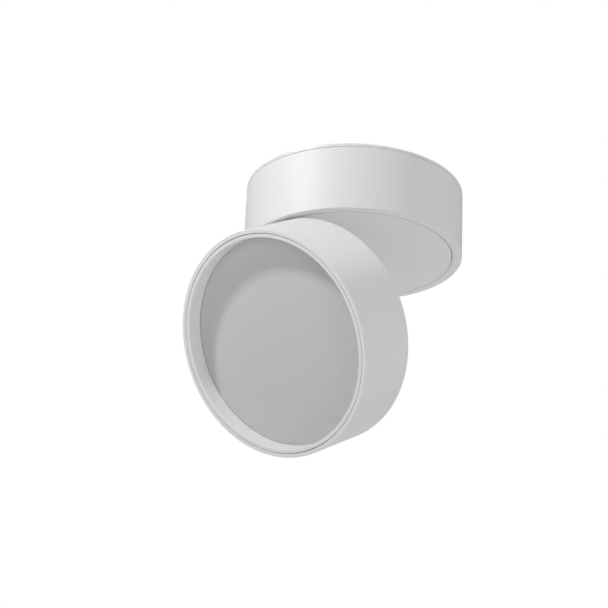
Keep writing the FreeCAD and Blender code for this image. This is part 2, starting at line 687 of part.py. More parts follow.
def disc_bush():
    body = cylinder(LEAD_BUSH_R - PIN_CLEAR, UNDERSIDE, DISC_TOP - GROOVE_DEPTH, 0, -LEAD_HOLE_Y)
    flange = cylinder(BUSH_FLANGE_R, UNDERSIDE - BUSH_FLANGE_T, UNDERSIDE, 0, -LEAD_HOLE_Y)
    flange = round_circles(flange, BUSH_FLANGE_R, UNDERSIDE - BUSH_FLANGE_T, BUSH_FLANGE_T / 2)
    bush = fuse_all([body, flange])
    return bush.cut(cylinder(LEAD_BORE_R, UNDERSIDE - BUSH_FLANGE_T - 1, DISC_TOP, 0, -LEAD_HOLE_Y))


def arm_outline():
    """Side view of a hinge arm, as (y, z), from the plate down to the eye's lower side."""
    end = BRACKET_END
    top = UNDERSIDE - ARM_DROP
    root = end - ARM_ROOT
    plate_low = UNDERSIDE - BRACKET_T
    away_y, away_z = HINGE_Y - root, plate_low - HINGE_Z
    reach = math.hypot(away_y, away_z)
    turn = math.atan2(away_z, -away_y) + math.acos(KNUCKLE_R / reach)
    touch = (HINGE_Y + KNUCKLE_R * math.cos(turn), HINGE_Z + KNUCKLE_R * math.sin(turn))
    back = HINGE_Y - ARM_BACK
    points = [(root, top), (back, top), (back, HINGE_Z), (HINGE_Y, HINGE_Z), touch, (root, plate_low)]
    return [(-y, z) for y, z in points]


def arm_inner_x():
    return KNUCKLE_HALF_W + FRICTION_T + 2 * RUN_GAP


def hinge_bracket():
    end = BRACKET_END
    plate = box(-HINGE_HALF_W, HINGE_HALF_W, -end, -end + BRACKET_L, UNDERSIDE - BRACKET_T, UNDERSIDE)
    shapes = [plate]
    for side in (-1, 1):
        x0, x1 = sorted((side * arm_inner_x(), side * HINGE_HALF_W))
        shapes.append(slab(arm_outline(), x0, x1))
        shapes.append(cross_rod(KNUCKLE_R, x0, x1, -HINGE_Y, HINGE_Z))
    bracket = fuse_all(shapes)
    bracket = bracket.cut(cross_rod(HINGE_PIN_R + PIN_CLEAR, -DRUM_R, DRUM_R, -HINGE_Y, HINGE_Z))
    for x, y in bracket_screw_places():
        bracket = bracket.cut(tap_hole(M3, UNDERSIDE - BRACKET_T - 1, UNDERSIDE + 1, x, y))
    return bracket


def bracket_screws():
    tip = UNDERSIDE - BRACKET_T + TIP_CLEAR
    return group([sunk_screw(M3, DISC_TOP, tip, x, y) for x, y in bracket_screw_places()])


def hinge_pin():
    tail = HINGE_HALF_W + SPRING_WASHER_T + CLIP_T + 2 * RUN_GAP + PIN_TAIL
    rod = cross_rod(HINGE_PIN_R, -tail, HINGE_HALF_W, -HINGE_Y, HINGE_Z)
    head = cross_rod(PIN_HEAD_R, HINGE_HALF_W, HINGE_HALF_W + PIN_HEAD_T, -HINGE_Y, HINGE_Z)
    pin = fuse_all([rod, head])
    slot_x = HINGE_HALF_W + PIN_HEAD_T / 2
    slot = box(slot_x, slot_x + 1, -HINGE_Y - PIN_HEAD_R, -HINGE_Y + PIN_HEAD_R,
               HINGE_Z - PIN_SLOT / 2, HINGE_Z + PIN_SLOT / 2)
    return pin.cut(slot)


def cross_ring(outer, inner, x0, x1):
    rod = cross_rod(outer, x0, x1, -HINGE_Y, HINGE_Z)
    return rod.cut(cross_rod(inner, x0 - 1, x1 + 1, -HINGE_Y, HINGE_Z))


def spring_washer():
    x1 = -HINGE_HALF_W - RUN_GAP
    return cross_ring(PIN_HEAD_R, HINGE_PIN_R + SHAFT_CLEAR, x1 - SPRING_WASHER_T, x1)


def hinge_clip():
    x1 = -HINGE_HALF_W - 2 * RUN_GAP - SPRING_WASHER_T
    clip = cross_ring(PIN_HEAD_R, HINGE_PIN_R + PIN_CLEAR, x1 - CLIP_T, x1)
    gap = box(x1 - CLIP_T - 1, x1 + 1, -HINGE_Y - CLIP_GAP_W / 2, -HINGE_Y + CLIP_GAP_W / 2,
              HINGE_Z, HINGE_Z + PIN_HEAD_R + 1)
    return clip.cut(gap)


def friction_washers():
    x0 = KNUCKLE_HALF_W + RUN_GAP
    inner = HINGE_PIN_R + SHAFT_CLEAR
    outer = KNUCKLE_R - SEAT_CLEAR
    right = cross_ring(outer, inner, x0, x0 + FRICTION_T)
    left = cross_ring(outer, inner, -x0 - FRICTION_T, -x0)
    return group([right, left])


# ---- lamp head, drawn folded under the canopy ----
def pocket_tool(half_w, low, high, inner_y):
    return box(-half_w, half_w, -DRUM_R - 1, -inner_y, low, high)


def pocket_wall_r():
    """Radius that clears the outer corner of the hinge arms."""
    return math.hypot(HINGE_Y + KNUCKLE_R, HINGE_HALF_W) + POCKET_CLEAR


def head_shell():
    ledge_top = SINK_LOW
    ledge_low = SINK_LOW - LEDGE_T
    outline = [(HEAD_IN_R, REAR), (DRUM_R, REAR), (DRUM_R, FRONT), (HEAD_IN_R, FRONT),
               (HEAD_IN_R, ledge_low), (LEDGE_R, ledge_low), (LEDGE_R, ledge_top), (HEAD_IN_R, ledge_top)]
    shell = lathe(outline)
    shell = round_circles(shell, DRUM_R, REAR, EDGE_R)
    shell = round_circles(shell, DRUM_R, FRONT, EDGE_R)
    shell = round_circles(shell, HEAD_IN_R, FRONT, EDGE_R / 2)
    pocket = cylinder(pocket_wall_r(), POCKET_Z, REAR + 1)
    shell = shell.cut(pocket.common(pocket_tool(POCKET_HALF_W, POCKET_Z, REAR + 1, POCKET_Y)))
    catch_low = catch_level()
    groove_r = TRIM_OUT_R + CATCH_OUT + SEAT_CLEAR
    catch_high = catch_low + CATCH_H
    shell = shell.cut(ring(groove_r, HEAD_IN_R - 1, catch_low - SEAT_CLEAR, catch_high + SEAT_CLEAR))
    for x, y in ledge_screw_places():
        shell = shell.cut(tap_hole(M25, ledge_low - 1, ledge_top + 1, x, y))
    return shell


def ledge_screw_places():
    return around(3, HEAD_IN_R - LEDGE_SCREW_INSET, THREE_SCREW_ANGLE)


def rear_cover():
    cover = cylinder(COVER_R, COVER_LOW, COVER_TOP)
    floor_low = POCKET_Z - POCKET_FLOOR
    tray = pocket_tool(POCKET_HALF_W + POCKET_WALL, floor_low, COVER_LOW, POCKET_Y - POCKET_WALL)
    cover = cover.fuse(tray.common(cylinder(COVER_R, floor_low, COVER_LOW)))
    cover = cover.cut(pocket_tool(POCKET_HALF_W, POCKET_Z, COVER_TOP + 1, POCKET_Y)).removeSplitter()
    for x, y in post_places():
        cover = cover.cut(sunk_hole(M3, COVER_TOP, COVER_LOW - 1, x, y))
    for x, y in leaf_screw_places():
        cover = cover.cut(tap_hole(M25, floor_low - 1, POCKET_Z + 1, x, y))
    return cover.cut(cylinder(LEAD_BUSH_R, COVER_LOW - 1, COVER_TOP + 1, 0, -LEAD_HOLE_Y))


def post_places():
    return around(4, POST_PITCH_R, POST_ANGLE)


def rear_cover_screws():
    return group([sunk_screw(M3, COVER_TOP, COVER_LOW - POST_SCREW_L, x, y) for x, y in post_places()])


def head_bush():
    body = cylinder(LEAD_BUSH_R - PIN_CLEAR, COVER_LOW, COVER_TOP, 0, -LEAD_HOLE_Y)
    flange = cylinder(BUSH_FLANGE_R, COVER_TOP, COVER_TOP + BUSH_FLANGE_T, 0, -LEAD_HOLE_Y)
    flange = round_circles(flange, BUSH_FLANGE_R, COVER_TOP + BUSH_FLANGE_T, BUSH_FLANGE_T / 2)
    bush = fuse_all([body, flange])
    return bush.cut(cylinder(LEAD_BORE_R, COVER_LOW - 1, COVER_TOP + 2, 0, -LEAD_HOLE_Y))


def leaf_screw_places():
    y = -(LEAF_Y + LEAF_L / 2)
    return [(-LEAF_SCREW_X, y), (LEAF_SCREW_X, y)]


def hinge_leaf():
    foot_top = POCKET_Z + LEAF_T
    foot = box(-LEAF_HALF_W, LEAF_HALF_W, -LEAF_Y - LEAF_L, -LEAF_Y, POCKET_Z, foot_top)
    root_y = LEAF_Y + LEAF_L - NECK_ROOT
    neck = [(root_y, foot_top), (root_y, POCKET_Z), (HINGE_Y - NECK_SETBACK, POCKET_Z),
            (HINGE_Y, HINGE_Z - KNUCKLE_R), (HINGE_Y, HINGE_Z), (HINGE_Y - KNUCKLE_R, HINGE_Z)]
    half = KNUCKLE_HALF_W
    knuckle = cross_rod(KNUCKLE_R, -half, half, -HINGE_Y, HINGE_Z)
    leaf = fuse_all([foot, slab([(-y, z) for y, z in neck], -half, half), knuckle])
    leaf = leaf.cut(cross_rod(HINGE_PIN_R + SHAFT_CLEAR, -DRUM_R, DRUM_R, -HINGE_Y, HINGE_Z))
    for x, y in leaf_screw_places():
        leaf = leaf.cut(tap_hole(M25, POCKET_Z - 1, foot_top + 1, x, y))
    return leaf


def leaf_screws():
    seat = POCKET_Z - POCKET_FLOOR
    return group([screw(M25, seat, POCKET_Z + LEAF_T - TIP_CLEAR, x, y) for x, y in leaf_screw_places()])


def heat_sink():
    plate = cylinder(COVER_R, SINK_LOW, SINK_TOP)
    shapes = [plate]
    fin_area = cylinder(FIN_R, SINK_TOP, SINK_TOP + FIN_H)
    count = int(FIN_R // FIN_PITCH)
    for k in range(-count, count + 1):
        x = k * FIN_PITCH
        fin = box(x - FIN_T / 2, x + FIN_T / 2, -FIN_R, FIN_R, SINK_TOP, SINK_TOP + FIN_H)
        shapes.append(fin.common(fin_area))
    for x, y in post_places():
        shapes.append(cylinder(POST_R, SINK_TOP, COVER_LOW, x, y))
    sink = fuse_all(shapes)
    for x, y in post_places():
        sink = sink.cut(tap_hole(M3, COVER_LOW - POST_SCREW_L - TIP_CLEAR, COVER_LOW + 1, x, y))
    for x, y in ledge_screw_places() + board_screw_places():
        sink = sink.cut(tap_hole(M25, SINK_LOW - 1, SINK_LOW + SINK_SCREW_L + TIP_CLEAR, x, y))
    return sink.cut(cylinder(LEAD_PASS_R, SINK_LOW - 1, SINK_TOP + FIN_H + 1, 0, -LEAD_PASS_Y))


def sink_screws():
    seat = SINK_LOW - LEDGE_T
    return group([screw(M25, seat, SINK_LOW + SINK_SCREW_L, x, y) for x, y in ledge_screw_places()])


def board_screw_places():
    return around(3, BOARD_R - BOARD_SCREW_INSET, THREE_SCREW_ANGLE)


def thermal_pad():
    pad = cylinder(BOARD_R - SEAT_CLEAR, BOARD_TOP, SINK_LOW)
    for x, y in board_screw_places():
        pad = pad.cut(cylinder(M25[0] + SEAT_CLEAR, BOARD_TOP - 1, SINK_LOW + 1, x, y))
    return pad.cut(cylinder(LEAD_PASS_R, BOARD_TOP - 1, SINK_LOW + 1, 0, -LEAD_PASS_Y))


def led_board():
    board = cylinder(BOARD_R, BOARD_LOW, BOARD_TOP)
    for x, y in board_screw_places():
        board = board.cut(tap_hole(M25, BOARD_LOW - 1, BOARD_TOP + 1, x, y))
    return board.cut(cylinder(LEAD_PASS_R, BOARD_LOW - 1, BOARD_TOP + 1, 0, -LEAD_PASS_Y))


def board_screws():
    return group([screw(M25, BOARD_LOW, SINK_LOW + SINK_SCREW_L, x, y) for x, y in board_screw_places()])


def leds():
    shapes = []
    for row in range(LED_RINGS):
        radius = BOARD_R - LED_INSET - (LED_RINGS - 1 - row) * LED_PITCH
        count = LED_STEP * (row + 1)
        for k in range(count):
            led = box(radius - LED_W / 2, radius + LED_W / 2, -LED_L / 2, LED_L / 2,
                      BOARD_LOW - LED_H, BOARD_LOW)
            shapes.append(turned(led, 360.0 * k / count))
    return group(shapes)


def led_connector():
    half = PLUG_W / 2
    x0 = LEAD_PASS_R + PLUG_GAP
    body = box(x0, x0 + PLUG_L, -LEAD_PASS_Y - half, -LEAD_PASS_Y + half, BOARD_LOW - PLUG_H, BOARD_LOW)
    for y in (-LEAD_PASS_Y - half / 2, -LEAD_PASS_Y + half / 2):
        socket = Part.makeCylinder(PLUG_PIN_R, PLUG_L / 2, V(x0 - 1, y, BOARD_LOW - PLUG_H / 2), V(1, 0, 0))
        body = body.cut(socket)
    return body


def light_ring():
    """White cone that carries the diffuser and throws the light forward."""
    foot_r = BOARD_R - CONE_T - SEAT_CLEAR
    mouth_r = DIFFUSER_R - CONE_INSET
    foot_low = BOARD_LOW - CONE_FOOT
    inside = [(foot_r, BOARD_LOW), (foot_r, foot_low), (mouth_r - CONE_T, DIFFUSER_BACK)]
    outside = [(mouth_r, DIFFUSER_BACK), (mouth_r, DIFFUSER_BACK + CONE_LAND),
               (foot_r + CONE_T, foot_low), (foot_r + CONE_T, BOARD_LOW)]
    return lathe(inside + outside)


def dome_face(radius, edge_z, rise):
    """Ball-cap that bulges down from a circle of that radius."""
    ball = (radius ** 2 + rise ** 2) / (2 * rise)
    return Part.makeSphere(ball, V(0, 0, edge_z - rise + ball))


def diffuser():
    face_r = TRIM_INNER_R - FACE_INSET
    plate = cylinder(DIFFUSER_R, DIFFUSER_FACE, DIFFUSER_BACK)
    cap = cylinder(face_r, DIFFUSER_FACE - DIFFUSER_DOME - 1, DIFFUSER_BACK).common(
        dome_face(face_r, DIFFUSER_FACE, DIFFUSER_DOME))
    hollow_r = face_r - DIFFUSER_RIM_W
    hollow = cylinder(hollow_r, DIFFUSER_FACE - DIFFUSER_DOME - 1, DIFFUSER_BACK + 1).common(
        dome_face(face_r, DIFFUSER_FACE + DIFFUSER_SKIN, DIFFUSER_DOME))
    hollow = hollow.fuse(cylinder(hollow_r, DIFFUSER_FACE + DIFFUSER_SKIN, DIFFUSER_BACK + 1))
    return plate.fuse(cap).cut(hollow).removeSplitter()


def diffuser_gasket():
    return ring(DIFFUSER_R, DIFFUSER_R - GASKET_W, TRIM_BACK, DIFFUSER_FACE)


def catch_level():
    return TRIM_BACK + SKIRT_L - CATCH_H


def trim_ring():
    skirt_top = TRIM_BACK + SKIRT_L
    skirt_r = TRIM_OUT_R - SKIRT_T
    trim = lathe([(TRIM_INNER_R, TRIM_LOW), (TRIM_OUT_R, TRIM_LOW), (TRIM_OUT_R, skirt_top),
                  (skirt_r, skirt_top), (skirt_r, TRIM_BACK), (TRIM_INNER_R, TRIM_BACK)])
    trim = round_circles(trim, TRIM_INNER_R, TRIM_LOW, EDGE_R)
    trim = round_circles(trim, TRIM_OUT_R, TRIM_LOW, EDGE_R / 2)
    low = catch_level()
    catch = ring(TRIM_OUT_R + CATCH_OUT, skirt_r, low, low + CATCH_H)
    window = box(0, DRUM_R, -CATCH_W / 2, CATCH_W / 2, low - 1, low + CATCH_H + 1)
    shapes = [trim]
    for k in range(3):
        shapes.append(catch.common(turned(window.copy(), 90 + 120 * k)))
    return fuse_all(shapes)


CANOPY = [ceiling_plate, cable_grommet, canopy_shell, side_screws, canopy_stop_pin, driver_case,
          driver_board, driver_transformer, driver_capacitors, driver_choke, driver_lid, driver_screws,
          terminal_block, terminal_screws, block_screws, earth_screw, earth_washer]
SWIVEL = [swivel_disc, swivel_axle, axle_screws, lower_slip_washer, upper_slip_washer, disc_spring,
          swivel_nut, swivel_stop_pin, disc_bush, hinge_bracket, bracket_screws, hinge_pin,
          spring_washer, hinge_clip, friction_washers]
HEAD = [hinge_leaf, leaf_screws, rear_cover, rear_cover_screws, head_bush, head_shell, heat_sink,
        sink_screws, thermal_pad, led_board, board_screws, leds, led_connector, light_ring, diffuser,
        diffuser_gasket, trim_ring]


def export(maker, tilt):
    shape = maker()
    if tilt:
        shape.rotate(V(0, -HINGE_Y, HINGE_Z), V(1, 0, 0), -tilt)
    shape.exportStep("parts/" + maker.__name__ + ".step")
    return shape


def main():
    os.makedirs("parts", exist_ok=True)
    for maker in CANOPY + SWIVEL:
        export(maker, 0)
    for maker in HEAD:
        export(maker, REST_TILT)
    print("hinge axis: y %.2f z %.2f, fold gap %.2f" % (-HINGE_Y, HINGE_Z, UNDERSIDE - REAR))


main()
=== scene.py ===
import json
import math

import bmesh
import bpy
from bpy.props import FloatProperty, FloatVectorProperty, IntProperty, PointerProperty
from mathutils import Matrix, Vector

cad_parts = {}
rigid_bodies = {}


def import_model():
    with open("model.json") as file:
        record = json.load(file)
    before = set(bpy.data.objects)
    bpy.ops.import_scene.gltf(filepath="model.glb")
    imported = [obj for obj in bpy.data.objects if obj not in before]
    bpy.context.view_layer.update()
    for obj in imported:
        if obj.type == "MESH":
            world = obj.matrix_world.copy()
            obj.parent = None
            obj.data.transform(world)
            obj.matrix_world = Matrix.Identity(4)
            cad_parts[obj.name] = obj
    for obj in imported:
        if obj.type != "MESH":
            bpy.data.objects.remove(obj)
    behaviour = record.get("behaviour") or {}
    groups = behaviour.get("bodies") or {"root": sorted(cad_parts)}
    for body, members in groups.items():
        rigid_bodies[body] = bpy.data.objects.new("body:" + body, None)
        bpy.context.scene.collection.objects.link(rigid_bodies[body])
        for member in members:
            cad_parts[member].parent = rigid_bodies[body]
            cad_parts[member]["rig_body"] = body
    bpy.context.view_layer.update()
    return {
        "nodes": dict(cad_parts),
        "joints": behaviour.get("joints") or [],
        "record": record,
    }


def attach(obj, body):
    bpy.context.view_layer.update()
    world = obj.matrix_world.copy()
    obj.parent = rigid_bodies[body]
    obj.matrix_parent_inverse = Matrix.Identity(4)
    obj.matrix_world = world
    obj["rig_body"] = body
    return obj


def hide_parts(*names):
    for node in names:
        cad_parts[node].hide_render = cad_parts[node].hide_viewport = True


bl_info = {
    "name": "Twin drum ceiling spotlight",
    "version": (1, 0, 0),
    "blender": (4, 5, 0),
    "location": "3D View > Sidebar > Spotlight",
    "description": "Dresses the folding ceiling spotlight with turned, moulded and coated pieces",
    "category": "Add Mesh",
}

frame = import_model()
MM = 0.001
TINY = 1e-7
PAST = 1.0 * MM                      # how far a cutter, or a joined shape, reaches past a face
ARC_STEP = math.radians(12)
HARD_ANGLE = math.radians(32)        # sharper edges than this are shaded hard
BEVEL_ANGLE = math.radians(38)       # sharper edges than this are broken
BEVEL_FACES = 3                      # across each broken edge
DOWN = math.pi * 1.5                 # direction of an outline's -Y
NEARLY_ROUND = 0.999                 # corner radius of a slot's round ends, as a share of half its width


# ---- the frame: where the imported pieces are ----
def mount(name):
    """Sizes of one of the light's mounts."""
    return next(m["dims"] for m in frame["record"]["mounts"] if m["name"] == name)


def joint(name):
    """One of the light's joints, with its place and range."""
    return next(j for j in frame["joints"] if j["name"] == name)


HINGE = Vector(joint("head_tilt")["pos_m"])
REST_TILT = -math.radians(joint("head_tilt")["range_deg"][0])
FIXED = Matrix.Identity(4)
# The head is modelled folded flat under the canopy. This turns it to where it rests.
TILTED = Matrix.Translation(HINGE) @ Matrix.Rotation(-REST_TILT, 4, "X") @ Matrix.Translation(-HINGE)
PLACES = {"canopy": FIXED, "swivel": FIXED, "head": TILTED}


def span(node):
    """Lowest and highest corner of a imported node, with the head folded flat."""
    solid = frame["nodes"][node]
    back = PLACES[solid["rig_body"]].inverted()
    points = [back @ v.co for v in solid.data.vertices]
    low = Vector([min(p[k] for p in points) for k in range(3)])
    high = Vector([max(p[k] for p in points) for k in range(3)])
    return low, high


def linear(code):
    """Blender's linear colour of an sRGB hex code."""
    channels = [int(code[k:k + 2], 16) / 255 for k in (1, 3, 5)]
    return [c / 12.92 if c <= 0.04045 else ((c + 0.055) / 1.055) ** 2.4 for c in channels]


def size_setting(name, description, default, **more):
    """A length in metres, shown in the units of the scene."""
    return FloatProperty(name=name, description=description, default=default, min=0.0, subtype="DISTANCE",
                         unit="LENGTH", precision=5, **more)


def angle_setting(name, description, degrees):
    """An angle, given in degrees and kept in radians."""
    return FloatProperty(name=name, description=description, default=math.radians(degrees), subtype="ANGLE",
                         unit="ROTATION")


def colour_setting(name, description, code):
    """A colour, given as an sRGB hex code."""
    return FloatVectorProperty(name=name, description=description, default=linear(code), size=3, min=0.0,
                               max=1.0, subtype="COLOR")


# ---- settings ----
class SPOTLIGHT_PG_screws(bpy.types.PropertyGroup):
    """Sizes of the screws and the small round pieces"""
    small_head: size_setting("M2.5 head", "Head radius of the M2.5 screws", 2.1 * MM)
    small_hole: size_setting("M2.5 hole", "Radius of the tapped M2.5 holes", 1.27 * MM)
    head: size_setting("M3 head", "Head radius of the countersunk M3 screws", 2.7 * MM)
    thread: size_setting("M3 thread", "Thread radius of the countersunk M3 screws", 1.5 * MM)
    hole: size_setting("M3 hole", "Radius of the M3 holes", 1.52 * MM)
    chamfer: size_setting("Screw chamfer", "Chamfer on the ends of threads", 0.3 * MM)
    sides: IntProperty(name="Hole sides", description="Faces round a hole or screw", default=48, min=12)
    bush_sides: IntProperty(name="Bush sides", description="Faces round a lead bush", default=72, min=12)
    grommet_sides: IntProperty(name="Grommet sides", description="Faces round the grommet", default=96,
                               min=12)


class SPOTLIGHT_PG_canopy(bpy.types.PropertyGroup):
    """Sizes of the ceiling plate, its grommet and the canopy drum"""
    radius: size_setting("Drum radius", "Outside radius of the canopy drum", span("canopy_shell")[1].x)
    depth: size_setting("Drum depth", "Ceiling to underside", -span("canopy_shell")[0].z)
    wall: size_setting("Wall", "Thickness of the drum's wall", 2.0 * MM)
    lip: size_setting("Lip width", "Plain rim round the turning disc", 3.75 * MM)
    rim_round: size_setting("Rim rounding", "Radius on the outer edge of the underside", 0.4 * MM)
    seam_height: size_setting("Seam height", "Shadow line under the ceiling plate", 0.4 * MM)
    seam_depth: size_setting("Seam depth", "How far the shadow line is set in", 0.7 * MM)
    seam_round: size_setting("Seam rounding", "Radius on the drum's edge at the shadow line", 0.12 * MM)
    web_round: size_setting("Web rounding", "Casting radius between the wall and the inner web", 1.0 * MM)
    plate_radius: size_setting("Plate radius", "Radius of the ceiling plate", span("ceiling_plate")[1].x)
    plate_round: size_setting("Plate edge", "Rounding of the stamped plate's edge", 0.25 * MM)
    lug_width: size_setting("Lug width", "Width of the bent lugs on the ceiling plate", 12.0 * MM)
    lug_thickness: size_setting("Lug thickness", "Sheet thickness of the lugs", 1.9 * MM)
    screw_angle: angle_setting("Side screw angle", "Direction of the side screws from +X", 42.5)
    screw_drop: size_setting("Side screw drop", "Side screws below the ceiling", 7.5 * MM)
    screw_hole: size_setting("Side screw hole", "Radius of the side screws' holes", 2.05 * MM)
    screw_length: size_setting("Side screw length", "Length of the set screws", 5.0 * MM)
    screw_sink: size_setting("Side screw sink", "Set screws below the drum's surface", 0.3 * MM)
    screw_socket: size_setting("Side screw socket", "Corner radius of the set screws' hex sockets", 1.2 * MM)
    socket_depth: size_setting("Socket depth", "Depth of those sockets", 1.8 * MM)
    lug_gap: size_setting("Lug gap", "Lugs to the drum's inner wall", 0.2 * MM)
    neck_wall: size_setting("Grommet wall", "Rubber round the grommet's bore", 3.9 * MM)
    grommet_fit: size_setting("Grommet fit", "Grommet's neck inside its hole", 0.02 * MM)
    web_play: size_setting("Web play", "Axle's lower washer to the web over it", 0.05 * MM)
    labyrinth_depth: size_setting("Labyrinth depth", "Underside to the ledge behind the groove", 0.35 * MM)
    labyrinth_reach: size_setting("Labyrinth reach", "How far that ledge reaches inwards", 0.7 * MM)
    labyrinth_sheet: size_setting("Labyrinth sheet", "Thickness of that ledge", 0.8 * MM)


class SPOTLIGHT_PG_swivel(bpy.types.PropertyGroup):
    """Sizes of the turning disc and the lead bushes"""
    radius: size_setting("Disc radius", "Radius of the turning disc", span("swivel_disc")[1].x)
    rim_round: size_setting("Disc rim", "Rounding of the disc's lower edge", 0.25 * MM)
    top_round: size_setting("Disc top edge", "Rounding of the disc's upper edge", 0.1 * MM)
    axle_hole: size_setting("Axle hole", "Radius of the axle's bore in the canopy", 5.05 * MM)
    lead_groove: size_setting("Lead groove", "Width of the leads' groove in the disc's top", 5.0 * MM)
    axle_floor: size_setting("Axle screw floor", "Disc left under the axle screws", 0.8 * MM)
    bush_bore: size_setting("Bush bore", "Radius of the lead bushes' bore", 1.8 * MM)
    bush_neck: size_setting("Bush neck", "Radius of the lead bushes' neck", 3.18 * MM)


class SPOTLIGHT_PG_hinge(bpy.types.PropertyGroup):
    """Sizes of the hinge's bracket, pin and leaf"""
    knuckle: size_setting("Knuckle radius", "Outside radius of the hinge eyes", 2.2 * MM)
    bore: size_setting("Pin radius", "Radius of the hinge pin", 1.25 * MM)
    half_width: size_setting("Half width", "Half of the width over both arms", span("hinge_bracket")[1].x)
    arm_inside: size_setting("Arm inside", "Inner face of an arm from the middle", 3.3 * MM)
    knuckle_half: size_setting("Knuckle half", "Half of the width of the head's knuckle", 2.9 * MM)
    sheet: size_setting("Bracket sheet", "Thickness of the bracket's plate", 2.2 * MM)
    sheet_corner: size_setting("Bracket corners", "Radius on the corners of that plate", 0.8 * MM)
    arm_root: size_setting("Arm root", "Arm's length along the plate", 4.0 * MM)
    foot: size_setting("Foot thickness", "Thickness of the hinge leaf's foot", 1.6 * MM)
    foot_length: size_setting("Foot length", "Length of the hinge leaf's foot", 8.5 * MM)
    foot_corner: size_setting("Foot corners", "Radius on the corners of the foot", 0.6 * MM)
    rim_gap: size_setting("Rim gap", "Bracket's corners inside the disc's edge", 0.3 * MM)
    arm_drop: size_setting("Arm drop", "Arms' tops below the canopy's lip", 0.5 * MM)
    arm_back: size_setting("Arm back", "Arms' outer faces behind the hinge axis", 0.5 * MM)
    pin_play: size_setting("Pin play", "Bores of the eyes round the pin", 0.05 * MM)
    pin_slot: size_setting("Pin slot", "Width of the screwdriver slot in the pin", 0.5 * MM)
    neck_setback: size_setting("Neck", "Leaf's lower corner behind the hinge axis", 1.2 * MM)
    edge: size_setting("Edge", "Bevel of the hinge's cast edges", 0.22 * MM)


class SPOTLIGHT_PG_head(bpy.types.PropertyGroup):
    """Sizes of the lamp head, its rear cover, trim ring and diffuser"""
    radius: size_setting("Head radius", "Outside radius of the lamp head", span("head_shell")[1].x)
    wall: size_setting("Wall", "Thickness of the head's wall", 1.8 * MM)
    rim_round: size_setting("Rim rounding", "Radius on the head's rims", 0.4 * MM)
    trim_seam: size_setting("Trim seam", "Groove between trim ring and shell", 0.3 * MM)
    seam_edge: size_setting("Seam edges", "Rounding of the edges on both sides of that groove", 0.06 * MM)
    trim_width: size_setting("Trim width", "Trim ring's outside to its deep inner wall", 1.7 * MM)
    trim_round: size_setting("Trim lip", "Rounding of the trim's inner lip", 0.4 * MM)
    skirt: size_setting("Trim skirt", "Thickness of the trim behind the diffuser's edge", 0.6 * MM)
    pocket_half: size_setting("Pocket half width", "Half of the hinge pocket's width", 9.3 * MM)
    pocket_length: size_setting("Pocket length", "Hinge pocket, in from the drum's outside", 17.5 * MM)
    pocket_wall: size_setting("Pocket wall", "Wall round the hinge pocket", 1.2 * MM)
    pocket_skin: size_setting("Pocket skin", "Shell left outside the pocket", 1.1 * MM)
    cover_thickness: size_setting("Cover thickness", "Sheet of the rear cover", 1.5 * MM)
    screw_circle: size_setting("Screw circle", "Pitch radius of the rear cover's screws", 38.0 * MM)
    ledge_width: size_setting("Ledge", "Shell's ledge that carries the heat sink", 4.2 * MM)
    ledge_thickness: size_setting("Ledge thickness", "Thickness of that ledge", 1.4 * MM)
    catch_out: size_setting("Catch", "How far the trim's snap catches stand out", 0.6 * MM)
    catch_height: size_setting("Catch height", "Height of the snap catches", 0.9 * MM)
    catch_width: size_setting("Catch width", "Width of the snap catches", 8.0 * MM)
    catch_play: size_setting("Catch play", "Shell's groove round the catches", 0.1 * MM)
    face_inset: size_setting("Diffuser inset", "Domed face inside the trim's inner wall", 0.4 * MM)
    diffuser_fullness: FloatProperty(name="Diffuser fullness", default=2.5, min=1.0,
                                     description="2 is a plain dome, more is a pillow")
    diffuser_rings: IntProperty(name="Diffuser rings", description="Rings of faces across the dome",
                                default=40, min=4)
    diffuser_skin: size_setting("Diffuser skin", "Thickness of the domed face", 1.8 * MM)
    diffuser_rim: size_setting("Diffuser rim", "Solid edge round the hollow back", 3.0 * MM)


